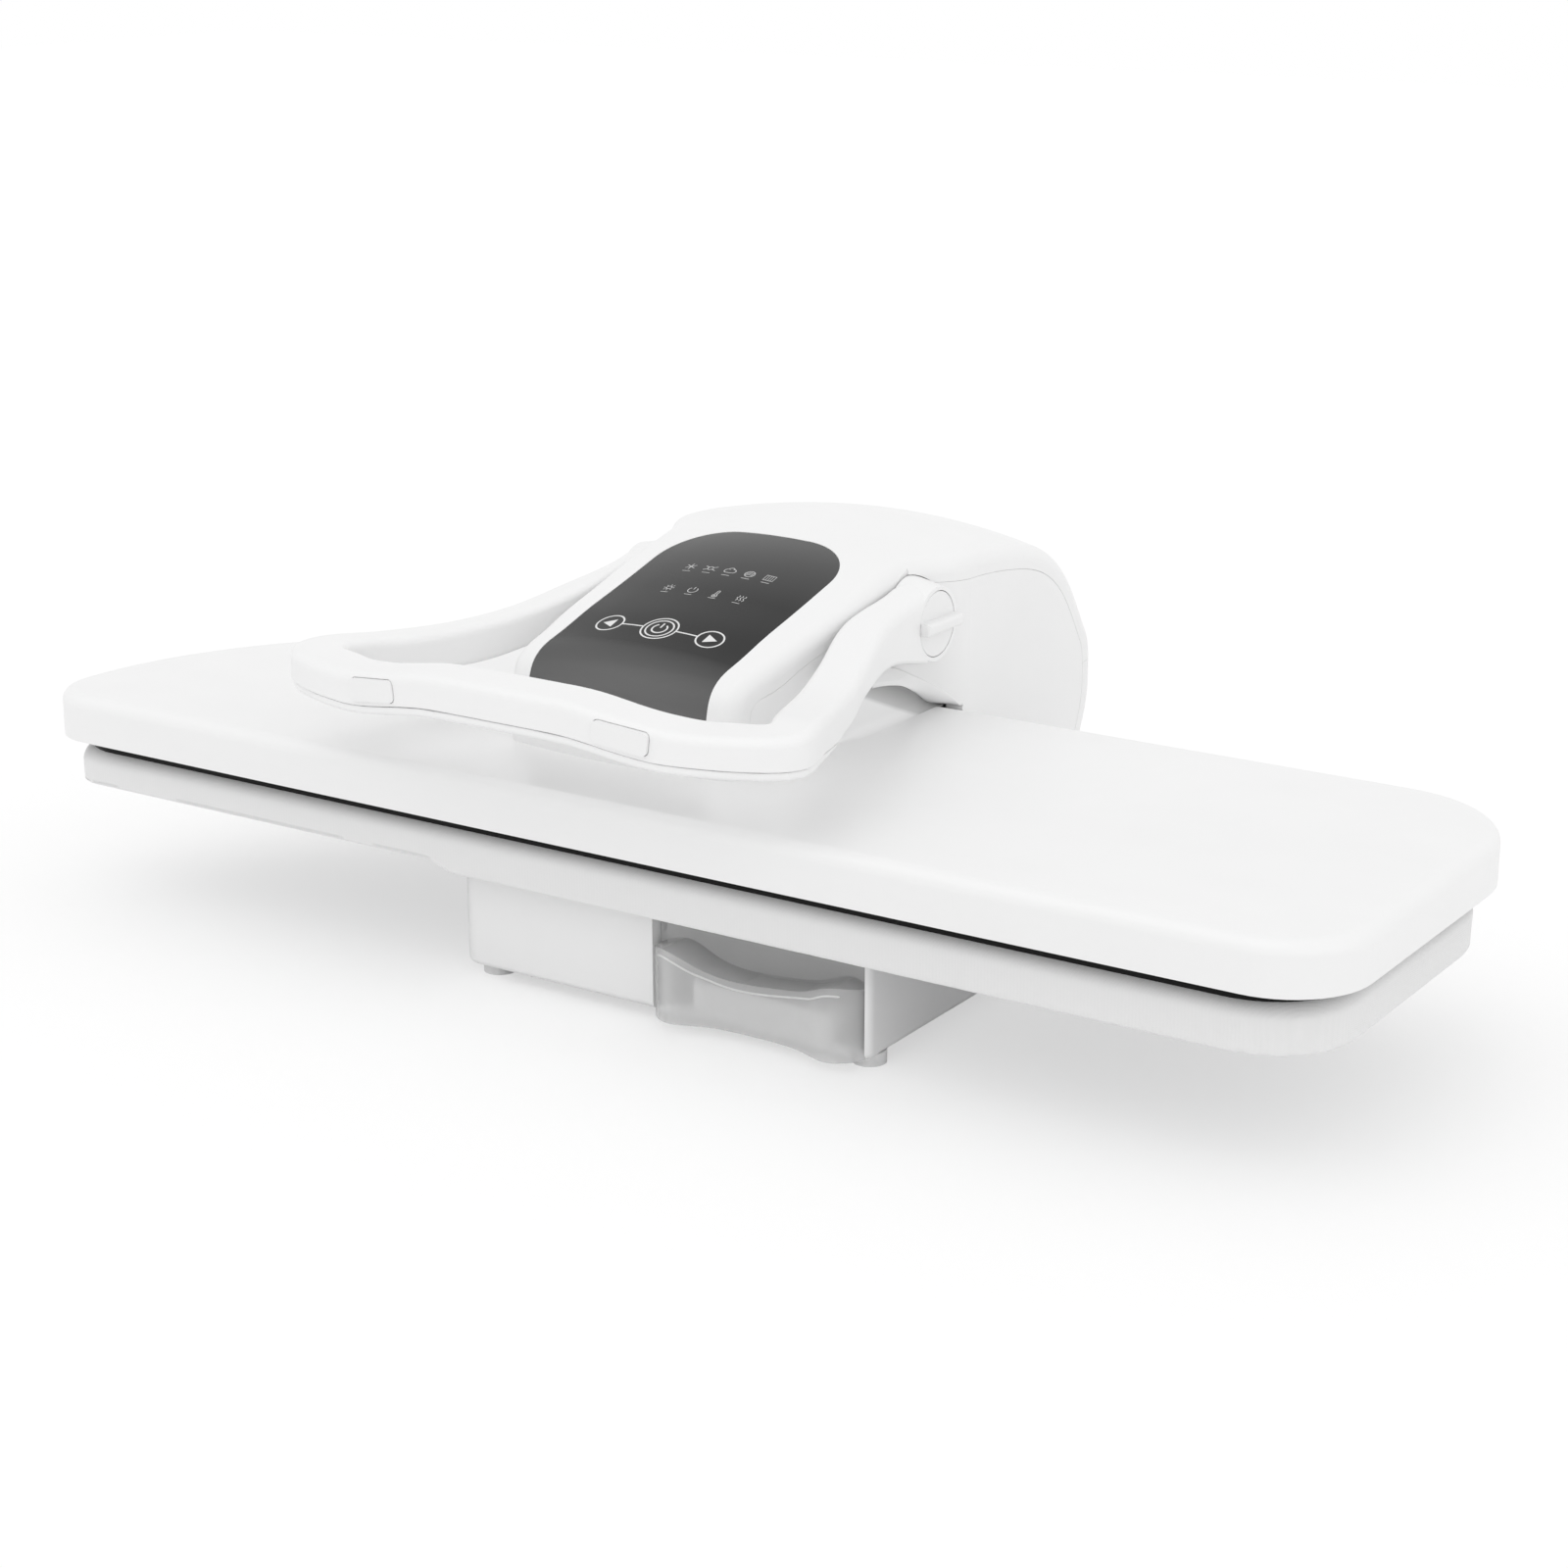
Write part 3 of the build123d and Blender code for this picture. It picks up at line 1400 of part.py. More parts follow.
def base_works(nose):
    """Pump, water hose and power board inside the base."""
    floor = base_floor_z + bottom_plate
    x, y = tank_x0 + pump_side, front_y + pump_back
    z = floor + pump_foot + pump_radius
    body = rod(pump_radius, (x - pump_length / 2, y, z), (x + pump_length / 2, y, z))
    foot = block(x - pump_length / 3, x + pump_length / 3, y - pump_radius, y + pump_radius, floor, z)
    save("water_pump", body + foot)
    board_x0 = base_x0 + power_board_left
    board_y0 = front_y + power_board_front
    lift = floor + power_board_lift
    plate = block(
        board_x0,
        board_x0 + power_board_width,
        board_y0,
        board_y0 + power_board_length,
        lift,
        lift + control_board_thickness,
    )
    made = [plate]
    for sx in (0, 1):
        for sy in (0, 1):
            px = board_x0 + post_inset + sx * (power_board_width - 2 * post_inset)
            py = board_y0 + post_inset + sy * (power_board_length - 2 * post_inset)
            made.append(rod(post_radius, (px, py, floor), (px, py, lift)))
    cx, cy = board_x0 + power_board_width / 2, board_y0 + power_board_length / 2
    top = lift + control_board_thickness
    made.append(rod(coil_radius, (cx, cy, top), (cx, cy, top + coil_height)))
    made.append(block(cx + chip_size, cx + 2 * chip_size, cy, cy + chip_size, top, top + 2 * chip_height))
    save("power_board", Compound(children=made))
    bend = 3 * hose_radius
    front = y - pump_radius - bend
    tongue_z = hinge_z - tongue_top_drop - tongue_height / 2
    supply = FilletPolyline(
        nose,
        (nose[0], front, nose[2]),
        (tank_x0 + pump_radius, front, tongue_z),
        (arm_x + tongue_half_width / 3, base_y1 + 2 * pump_radius, tongue_z),
        radius=bend / 2,
    )
    save("water_hose", tube_along(supply))


def hinge():
    """Brackets on the tongue, the hinge shaft, its clips and the springs that lift the head."""
    top = hinge_z - tongue_top_drop
    inner, outer = bracket_half_spread, bracket_half_spread + bracket_thickness
    points = [
        (front_y + bracket_front, top),
        (front_y + bracket_back, top),
        (hinge_y + bracket_hub * 3 / 4, hinge_z - bracket_hub / 2),
        (hinge_y - bracket_hub * 3 / 4, hinge_z + bracket_hub / 2),
    ]
    plate = side_prism(points, arm_x + inner, arm_x + outer)
    plate = plate + rod(bracket_hub, (arm_x + inner, hinge_y, hinge_z), (arm_x + outer, hinge_y, hinge_z))
    plate = plate + block(
        arm_x + inner,
        arm_x + inner + bracket_foot_width,
        front_y + bracket_front,
        front_y + bracket_back,
        top,
        top + bracket_thickness,
    )
    ends = (arm_x + inner - cut_over, arm_x + outer + cut_over)
    plate = plate - rod(hinge_shaft_radius, (ends[0], hinge_y, hinge_z), (ends[1], hinge_y, hinge_z))
    save("hinge_bracket_right", plate)
    save("hinge_bracket_left", mirrored(plate))
    reach = outer + hinge_shaft_over
    shaft = rod(hinge_shaft_radius, (arm_x - reach, hinge_y, hinge_z), (arm_x + reach, hinge_y, hinge_z))
    save("hinge_shaft", shaft)
    clips = ring_pair(
        hinge_shaft_radius + clip_out, hinge_shaft_radius, outer, outer + clip_thickness, hinge_y, hinge_z
    )
    save("hinge_circlips", clips)
    radius = hinge_shaft_radius + small_round + spring_wire
    coil = Helix(pitch=spring_pitch, height=spring_pitch * spring_turns, radius=radius)
    start = Plane(origin=coil @ 0, z_dir=coil % 0)
    wire = sweep(start * Circle(spring_wire), path=coil)
    right = Pos(arm_x + spring_inner_end, hinge_y, hinge_z) * Rot(0, 90, 0) * wire
    save("torsion_springs", Compound(children=[right, mirrored(right)]))


os.makedirs("parts", exist_ok=True)
base()
hinge()
base_works(tank())
board()
press_cover()
plate_stack(sole_plate())
head_frame()
steam_hose()
control_board(hood())
arch_guards()
lever()
print(len(written), "nodes:", ", ".join(written))
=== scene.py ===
import math

import bmesh
import bpy
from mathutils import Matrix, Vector, noise
from mathutils.bvhtree import BVHTree


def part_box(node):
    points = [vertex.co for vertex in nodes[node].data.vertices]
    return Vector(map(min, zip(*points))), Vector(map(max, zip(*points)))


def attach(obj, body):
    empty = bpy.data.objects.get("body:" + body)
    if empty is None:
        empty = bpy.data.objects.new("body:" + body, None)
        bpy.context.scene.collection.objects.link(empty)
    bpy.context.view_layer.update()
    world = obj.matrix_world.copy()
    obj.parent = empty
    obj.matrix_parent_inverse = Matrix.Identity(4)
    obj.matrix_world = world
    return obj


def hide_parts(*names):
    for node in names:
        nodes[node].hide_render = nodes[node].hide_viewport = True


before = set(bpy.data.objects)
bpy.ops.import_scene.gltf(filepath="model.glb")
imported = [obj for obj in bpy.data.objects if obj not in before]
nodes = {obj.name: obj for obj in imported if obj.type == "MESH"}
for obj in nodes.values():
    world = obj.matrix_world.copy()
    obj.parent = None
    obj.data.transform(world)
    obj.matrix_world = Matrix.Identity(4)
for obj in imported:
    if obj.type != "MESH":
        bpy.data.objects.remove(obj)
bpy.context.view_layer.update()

scene = bpy.context.scene
MM = 0.001

# Camera, in millimetres and degrees
CAMERA_PLACE = (903.5, -1396.744, 599.6)
CAMERA_AZIMUTH = 33.364
CAMERA_ELEVATION = 17.211
LENS = 70.6

camera_data = bpy.data.cameras.new("camera")
camera = bpy.data.objects.new("camera", camera_data)
scene.collection.objects.link(camera)
camera.location = [c * MM for c in CAMERA_PLACE]
camera.rotation_euler = (math.radians(90 - CAMERA_ELEVATION), 0, math.radians(CAMERA_AZIMUTH))
camera_data.sensor_width = 36
camera_data.lens = LENS
camera_data.clip_end = 50
scene.camera = camera
scene.view_settings.view_transform = "Standard"


# Material recipes. Their colours are linear, their texture scales are per metre.
NOISE_LIMITS = (0.3, 0.7)
GRAIN_SCALE = 1400.0
GLOSS_SCALE = 34.0
WHITE = (0.86, 0.86, 0.86)


class Recipe:
    """A node material that is put together step by step."""

    def __init__(self, name):
        self.material = bpy.data.materials.new(name)
        self.material.use_nodes = True
        self.tree = self.material.node_tree
        self.tree.nodes.clear()
        self.out = self.add("ShaderNodeOutputMaterial")
        self.shader = self.add("ShaderNodeBsdfPrincipled")
        self.join(self.shader.outputs[0], self.out.inputs["Surface"])
        self.where = self.add("ShaderNodeTexCoord").outputs["Object"]
        self.relief = None

    def add(self, kind, **settings):
        node = self.tree.nodes.new(kind)
        for key, value in settings.items():
            setattr(node, key, value)
        return node

    def join(self, a, b):
        self.tree.links.new(a, b)

    def set(self, **values):
        for key, value in values.items():
            self.shader.inputs[key.replace("_", " ")].default_value = value

    def stretched(self, scale):
        node = self.add("ShaderNodeMapping")
        node.inputs["Scale"].default_value = scale
        self.join(self.where, node.inputs["Vector"])
        return node.outputs[0]

    def noise(self, scale, detail=3.0, rough=0.5, stretch=None):
        node = self.add("ShaderNodeTexNoise")
        node.inputs["Scale"].default_value = scale
        node.inputs["Detail"].default_value = detail
        node.inputs["Roughness"].default_value = rough
        self.join(self.stretched(stretch) if stretch else self.where, node.inputs["Vector"])
        return node.outputs["Fac"]

    def cells(self, scale):
        node = self.add("ShaderNodeTexVoronoi", feature="F1")
        node.inputs["Scale"].default_value = scale
        self.join(self.where, node.inputs["Vector"])
        return node.outputs["Distance"]

    def math(self, operation, a, b=None, c=None):
        node = self.add("ShaderNodeMath", operation=operation)
        for socket, value in zip(node.inputs, (a, b, c)):
            if value is None:
                continue
            if isinstance(value, (int, float)):
                socket.default_value = value
            else:
                self.join(value, socket)
        return node.outputs[0]

    def span(self, value, low, high, to_low=0.0, to_high=1.0):
        node = self.add("ShaderNodeMapRange")
        node.inputs["From Min"].default_value = low
        node.inputs["From Max"].default_value = high
        node.inputs["To Min"].default_value = to_low
        node.inputs["To Max"].default_value = to_high
        self.join(value, node.inputs["Value"])
        return node.outputs[0]

    def mixed(self, factor, a, b):
        node = self.add("ShaderNodeMix", data_type="RGBA")
        for socket, value in ((node.inputs[6], a), (node.inputs[7], b)):
            if isinstance(value, tuple):
                socket.default_value = (*value, 1.0)
            else:
                self.join(value, socket)
        self.join(factor, node.inputs[0])
        return node.outputs[2]

    def colour(self, value):
        self.join(value, self.shader.inputs["Base Color"])

    def roughness(self, value, low, high):
        """Spreads a noise, which stays mostly between these two limits, over a range of gloss."""
        self.join(self.span(value, *NOISE_LIMITS, low, high), self.shader.inputs["Roughness"])

    def bump(self, height, depth, strength=1.0):
        """Adds a relief of that depth in millimetres on top of what came before."""
        node = self.add("ShaderNodeBump")
        node.inputs["Strength"].default_value = strength
        node.inputs["Distance"].default_value = depth * MM
        self.join(height, node.inputs["Height"])
        if self.relief is not None:
            self.join(self.relief, node.inputs["Normal"])
        self.relief = node.outputs[0]
        self.join(self.relief, self.shader.inputs["Normal"])

    def place(self):
        """The place across, in depth and up, in metres."""
        node = self.add("ShaderNodeSeparateXYZ")
        self.join(self.where, node.inputs[0])
        return node.outputs


def shade(colour, factor):
    return tuple(min(1.0, c * factor) for c in colour)


def plastic(name, colour, rough=0.36, grain=0.02, vary=0.02):
    """Moulded plastic: a fine spark-eroded grain, faint flow marks and uneven gloss."""
    r = Recipe(name)
    flow = r.noise(9.0, 4.0, 0.55, stretch=(1.0, 1.4, 2.2))
    r.colour(r.mixed(flow, shade(colour, 1 - vary), shade(colour, 1 + vary)))
    r.roughness(r.noise(GLOSS_SCALE, 4.0), rough - 0.05, rough + 0.06)
    r.bump(r.noise(GRAIN_SCALE, 2.0, 0.6), grain)
    r.bump(r.noise(26.0, 2.0, 0.4), 0.05)
    r.set(IOR=1.5)
    return r


def metal(name, colour, rough=0.32, stretch=(1.0, 1.0, 1.0), scratch=0.01, vary=0.08):
    """Rolled or turned metal, brushed along the axis that is stretched least."""
    r = Recipe(name)
    grain = r.noise(900.0, 4.0, 0.7, stretch=stretch)
    cloud = r.noise(40.0, 4.0, 0.6)
    r.colour(r.mixed(cloud, shade(colour, 1 - vary), shade(colour, 1 + vary)))
    r.roughness(grain, rough - 0.08, rough + 0.14)
    r.bump(grain, scratch)
    r.set(Metallic=1.0)
    return r


def rubber(name, colour, rough=0.7):
    """Matt rubber with a little dust on it."""
    r = Recipe(name)
    dust = r.noise(120.0, 5.0, 0.7)
    r.colour(r.mixed(dust, shade(colour, 0.85), shade(colour, 1.25)))
    r.roughness(r.noise(300.0, 3.0), rough - 0.08, rough + 0.1)
    r.bump(r.noise(1800.0, 3.0, 0.7), 0.03)
    return r


def woven(name, colour, pitch, depth):
    """Plain weave whose threads pass over and under each other, pitch and depth in millimetres."""
    r = Recipe(name)
    half_turns = math.pi / (pitch * MM)
    x, y, z = r.place()
    warp = r.math("SINE", r.math("MULTIPLY", r.math("ADD", x, z), half_turns))
    weft = r.math("SINE", r.math("MULTIPLY", r.math("ADD", y, z), half_turns))
    over = r.math("MULTIPLY", warp, weft)
    slub = r.noise(260.0, 3.0, 0.6, stretch=(0.2, 1.0, 1.0))
    shadow = r.math("MULTIPLY_ADD", over, 0.25, 0.5)
    thread = r.mixed(shadow, shade(colour, 0.93), shade(colour, 1.03))
    cloud = r.noise(14.0, 4.0, 0.6)
    r.colour(r.mixed(cloud, thread, shade(colour, 0.985)))
    r.roughness(slub, 0.8, 0.93)
    r.bump(over, depth, 0.6)
    r.bump(slub, depth * 0.6, 0.5)
    r.bump(r.noise(2200.0, 2.0, 0.8), 0.02)
    r.set(Sheen_Weight=0.3, Sheen_Roughness=0.5)
    return r


def fibrous(name, colour):
    """A tangle of loose fibres."""
    r = Recipe(name)
    tangle = r.noise(500.0, 6.0, 0.75)
    r.colour(r.mixed(tangle, shade(colour, 0.75), shade(colour, 1.1)))
    r.roughness(tangle, 0.85, 0.98)
    r.bump(tangle, 0.3)
    return r


def put(recipe, *names):
    """Gives a material to CAD nodes in all their slots."""
    for name in names:
        data = nodes[name].data
        if not data.materials:
            data.materials.append(recipe.material)
        for i in range(len(data.materials)):
            data.materials[i] = recipe.material


# Shells: each gets its own gloss, so that the parts read apart
shell = plastic("shell_satin", WHITE)
lever_white = plastic("lever_satin", shade(WHITE, 1.005), rough=0.42, grain=0.003)
button_white = plastic("button_satin", shade(WHITE, 0.99), rough=0.4, grain=0.003)
knob_white = plastic("knob_satin", shade(WHITE, 0.985), rough=0.42, grain=0.003)


# Painted light: a lighter colour for the plastic inside the tank's bay
BAY_PAINTED_LIGHT = (0.93, 0.93, 0.93)
BAY_FRONT, BAY_MARGIN = 0.012, 0.004


def bay_painted_light(recipe):
    """Paints light on a plastic inside the tank's bay: a lighter colour where little light falls.
    """
    low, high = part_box("tank_tub")
    spans = (
        (low[0], high[0]),
        (low[1] + BAY_FRONT, high[1] + BAY_MARGIN),
        (low[2] - BAY_MARGIN, high[2] + BAY_MARGIN),
    )
    inside = None
    for value, (a, b) in zip(recipe.place(), spans):
        over = recipe.math("GREATER_THAN", value, a)
        under = recipe.math("LESS_THAN", value, b)
        both = recipe.math("MULTIPLY", over, under)
        inside = both if inside is None else recipe.math("MULTIPLY", inside, both)
    link = recipe.shader.inputs["Base Color"].links[0]
    recipe.colour(recipe.mixed(inside, link.from_socket, BAY_PAINTED_LIGHT))


base_white = plastic("base_satin", shade(WHITE, 0.985), rough=0.4, grain=0.03)
# The base's plastic gets painted light inside the tank's bay
bay_painted_light(base_white)
put(shell, "head_top_cover", "head_side_left", "head_side_right", "head_back_cover")
put(plastic("cover_satin", WHITE, rough=0.34, grain=0.015), "press_cover")
put(base_white, "base_housing")
put(lever_white, "handle_upper", "handle_lower", "pivot_cap_left")
put(button_white, "steam_button_left", "steam_button_right")
put(knob_white, "lock_knob")
put(plastic("bottom_grey", (0.62, 0.62, 0.63), rough=0.5, grain=0.05), "base_bottom_cover")
put(rubber("feet_grey", (0.74, 0.74, 0.74)), "rubber_feet")
put(rubber("hose_black", (0.035, 0.035, 0.037)), "steam_hose", "cord_gland", "tank_seal")
put(plastic("guard_white", shade(WHITE, 0.97), rough=0.5, grain=0.05), "arch_guards")
put(plastic("tray_grey", (0.28, 0.28, 0.29), rough=0.55, grain=0.06), "board_tray")
put(
    plastic("dark_plastic", (0.06, 0.06, 0.065), rough=0.5),
    "dock_socket", "water_pump", "steam_switches",
)
put(plastic("post_grey", (0.5, 0.5, 0.5), rough=0.5), "board_posts")

steel_x = metal("steel_brushed", (0.55, 0.56, 0.57), stretch=(0.05, 1.0, 1.0))
steel_y = metal("steel_rolled", (0.5, 0.51, 0.52), stretch=(1.0, 0.06, 1.0), rough=0.38)
zinc = metal("zinc_plated", (0.62, 0.62, 0.6), rough=0.42, scratch=0.02, vary=0.16)
put(steel_x, "hinge_shaft", "handle_shaft", "arm_ties")
put(
    steel_y,
    "arm_plate_left", "arm_plate_right",
    "hinge_bracket_left", "hinge_bracket_right", "press_bridge",
)
put(
    zinc,
    "base_screws", "plate_screws", "hinge_circlips",
    "thermal_fuse", "thermostat", "heating_element",
)
put(metal("spring_steel", (0.3, 0.3, 0.32), rough=0.3), "torsion_springs")
put(metal("cam_steel", (0.42, 0.42, 0.43), rough=0.3), "press_cams")
put(metal("bush_brass", (0.66, 0.5, 0.24), rough=0.35), "hinge_bushes", "handle_bushes")
put(fibrous("glass_fibre", (0.78, 0.76, 0.7)), "insulation_sheet")
put(rubber("silicone_hose", (0.72, 0.7, 0.66), rough=0.5), "water_hose")


def sole_coat():
    """Dark non-stick coat with fine metallic flecks and a faint orange-peel."""
    r = Recipe("sole_coat")
    fleck = r.cells(2600.0)
    bright = r.span(fleck, 0.05, 0.22, 1.0, 0.0)
    patch = r.noise(700.0, 2.0)
    keep = r.math("MULTIPLY", bright, r.math("GREATER_THAN", patch, 0.56))
    r.colour(r.mixed(keep, (0.004, 0.004, 0.004), (0.05, 0.05, 0.05)))
    r.roughness(r.noise(50.0, 3.0), 0.34, 0.44)
    r.bump(r.noise(420.0, 2.0), 0.05)
    r.set(Specular_IOR_Level=0.12)
    return r


put(sole_coat(), "sole_plate", "steam_chamber_cover")


def circuit():
    """A green board: copper tracks under lacquer on a square grid, with tinned pads."""
    r = Recipe("circuit_board")
    track = r.add("ShaderNodeTexBrick")
    track.inputs["Scale"].default_value = 140.0
    track.inputs["Mortar Size"].default_value = 0.03
    r.join(r.where, track.inputs["Vector"])
    pads = r.span(r.cells(300.0), 0.1, 0.16, 1.0, 0.0)
    green = r.mixed(track.outputs["Fac"], (0.012, 0.09, 0.03), (0.03, 0.16, 0.06))
    r.colour(r.mixed(pads, green, (0.5, 0.5, 0.46)))
    r.roughness(r.noise(60.0), 0.3, 0.42)
    r.bump(track.outputs["Fac"], 0.04)
    return r


put(circuit(), "control_board", "power_board")


# Spans of depth y, in metres, where a painted reflection greys the panel
PANEL_REFLECTION_BEND = (-0.132, -0.104)
PANEL_REFLECTION_CREST = (-0.045, 0.02)


def panel():
    """The touch panel: near-black acrylic, with a painted reflection that greys it on its bend in
    front and up towards its crest.
    """
    r = Recipe("panel_acrylic")
    y = r.place()[1]
    # Painted reflection: grey on the bend in front and towards the crest
    bend = r.span(y, *PANEL_REFLECTION_BEND, 1.0, 0.0)
    crest = r.span(y, *PANEL_REFLECTION_CREST)
    cloud = r.noise(30.0, 3.0)
    base = r.mixed(cloud, (0.016, 0.016, 0.016), (0.02, 0.02, 0.02))
    base = r.mixed(crest, base, (0.08, 0.08, 0.08))
    r.colour(r.mixed(bend, base, (0.14, 0.14, 0.14)))
    r.roughness(r.noise(40.0, 3.0), 0.2, 0.26)
    r.bump(r.noise(30.0, 2.0), 0.02)
    r.set(IOR=1.45, Specular_IOR_Level=0.2)
    return r


put(panel(), "control_panel_glass")


def clear(name, tint, rough=0.03, see_through=0.5):
    """Clear smoky acrylic with faint moulding ripples."""
    r = Recipe(name)
    r.colour(r.mixed(r.noise(12.0, 3.0), shade(tint, 0.98), tint))
    r.roughness(r.noise(60.0, 3.0), rough, rough + 0.03)
    r.bump(r.noise(55.0, 2.0, 0.4), 0.08)
    r.set(IOR=1.3, Transmission_Weight=0.42, Alpha=see_through)
    return r


put(clear("tank_acrylic", (0.985, 0.985, 0.985)), "tank_tub", "tank_lid")
put(clear("tank_fittings", (0.75, 0.76, 0.77), rough=0.12), "tank_spigot")
put(plastic("cap_grey", (0.35, 0.36, 0.37), rough=0.4), "tank_cap")


def evened(*names):
    """Shading by the larger faces, so that a shell's narrow facets don't show."""
    for name in names:
        even = nodes[name].modifiers.new("evened", "WEIGHTED_NORMAL")
        even.mode = "FACE_AREA_WITH_ANGLE"
        even.weight = 50


evened("handle_upper", "handle_lower")


# Mesh helpers. They take metres; the pieces further on are laid out in millimetres.
def new_piece(name, verts, faces, recipe, body, smooth=True):
    """A mesh that moves with a body."""
    mesh = bpy.data.meshes.new(name)
    mesh.from_pydata([tuple(v) for v in verts], [], faces)
    mesh.update()
    if smooth:
        mesh.polygons.foreach_set("use_smooth", [True] * len(mesh.polygons))
    piece = bpy.data.objects.new(name, mesh)
    scene.collection.objects.link(piece)
    mesh.materials.append(recipe.material)
    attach(piece, body)
    return piece


def turned_out(piece, merge=None):
    """Makes a mesh's faces look outwards, after merging points that lie closer than that."""
    b = bmesh.new()
    b.from_mesh(piece.data)
    if merge is not None:
        bmesh.ops.remove_doubles(b, verts=b.verts, dist=merge)
    bmesh.ops.recalc_face_normals(b, faces=b.faces)
    b.to_mesh(piece.data)
    b.free()


def thickened(piece, thickness, offset):
    """Gives a sheet its thickness."""
    thick = piece.modifiers.new("thickness", "SOLIDIFY")
    thick.thickness = thickness
    thick.offset = offset
    return thick


def bands(rings, across):
    """Faces between neighbouring rings of points that each go all the way round."""
    faces = []
    for r in range(rings - 1):
        a, b = r * across, (r + 1) * across
        for i in range(across):
            j = (i + 1) % across
            faces.append((a + i, b + i, b + j, a + j))
    return faces


def clamped(value):
    return max(0.0, min(1.0, value))


def tree_of(name):
    """A CAD node's faces, ready for rays."""
    mesh = nodes[name].data
    places = [v.co.copy() for v in mesh.vertices]
    return BVHTree.FromPolygons(places, [tuple(p.vertices) for p in mesh.polygons])


# Ironing board
FRONT_Y = -196.744
LEFT_X, RIGHT_X = -405.0, 405.0
COVER_DEPTH = 260.0
BOARD_Z, BOARD_TOP = 64.0, 92.5
BOARD_LEFT_INSET, BOARD_RIGHT_INSET = 12.0, 9.0
BOARD_FRONT_INSET, BOARD_BACK_INSET = 8.0, 7.0
BOARD_TIP = 20.0
FRONT_CORNER, BACK_CORNER = 45.0, 70.0
NOSE = 250.0
STEP_X = LEFT_X + 283.0
STEP_RUN, STEP_RISE = 14.0, 5.0
# The middle line that the top's rows run in to: straight, and bent forwards to the nose
SPINE_STEP = 6.0
SPINE_LEFT, SPINE_RIGHT = LEFT_X + 75.0, RIGHT_X - 120.0
SPINE_BEND, SPINE_BEND_RUN, SPINE_BEND_DEPTH = LEFT_X + 40.0, 260.0, 62.0


def arc(cx, cy, rx, ry, start, sweep, step):
    """Points along an ellipse's arc, counterclockwise, with their outward directions."""
    length = abs(math.radians(sweep)) * (rx + ry) / 2
    count = max(6, int(length / step))
    out = []
    for i in range(count):
        a = math.radians(start + sweep * i / count)
        normal = Vector((math.cos(a) / rx, math.sin(a) / ry)).normalized()
        out.append((Vector((cx + rx * math.cos(a), cy + ry * math.sin(a))), normal))
    return out


def run(start, end, step):
    """Points along a straight line, with their outward directions on its right."""
    start, end = Vector(start), Vector(end)
    count = max(2, int((end - start).length / step))
    along = (end - start).normalized()
    normal = Vector((along.y, -along.x))
    return [(start.lerp(end, i / count), normal) for i in range(count)]


def board_line():
    """The board's outline, counterclockwise from the nose's front, with close steps in corners."""
    x0, x1 = LEFT_X + BOARD_LEFT_INSET, RIGHT_X - BOARD_RIGHT_INSET
    y0, y1 = FRONT_Y + BOARD_FRONT_INSET, FRONT_Y + COVER_DEPTH - BOARD_BACK_INSET
    nose = NOSE - BOARD_LEFT_INSET
    out = run((x0 + BOARD_TIP, y0), (x1 - FRONT_CORNER, y0), 3.0)
    out += arc(x1 - FRONT_CORNER, y0 + FRONT_CORNER, FRONT_CORNER, FRONT_CORNER, 270, 90, 1.1)
    out += run((x1, y0 + FRONT_CORNER), (x1, y1 - BACK_CORNER), 2.6)
    out += arc(x1 - BACK_CORNER, y1 - BACK_CORNER, BACK_CORNER, BACK_CORNER, 0, 90, 1.3)
    out += run((x1 - BACK_CORNER, y1), (x0 + nose, y1), 3.0)
    out += arc(x0 + nose, y0 + BOARD_TIP, nose, y1 - y0 - BOARD_TIP, 90, 90, 2.0)
    out += arc(x0 + BOARD_TIP, y0 + BOARD_TIP, BOARD_TIP, BOARD_TIP, 180, 90, 1.1)
    return out


def spine_point(p):
    """The place on the board's middle line that a point of the outline runs in to."""
    x = SPINE_STEP * round(max(SPINE_LEFT, min(SPINE_RIGHT, p.x)) / SPINE_STEP)
    middle = FRONT_Y + (COVER_DEPTH + BOARD_FRONT_INSET - BOARD_BACK_INSET) / 2
    back = clamped((x - SPINE_BEND) / SPINE_BEND_RUN)
    return Vector((x, middle - (1 - back) ** 2 * SPINE_BEND_DEPTH))


def floor_lift(x):
    """How far the board's underside lies above its lowest level: it steps up under the nose."""
    return STEP_RISE * clamped((STEP_X + STEP_RUN - x) / STEP_RUN)


def corner_weight(normal):
    """1 in the corners and at the nose's tip, 0 along the straight sides."""
    return clamped(4.4 * abs(normal.x * normal.y))


# The cover's section: a rolled top edge, a side that leans in a little, and a hem turned under
ROLL_ARC = 72.0
ROLL_IN, ROLL_DOWN = 13.0, 9.5
SIDE_LEAN = 0.35
HEM_ROUND = 2.0
HEM_IN = 9.6
CLOTH_THICK = 0.0007
CLOTH_MERGE = 0.00002


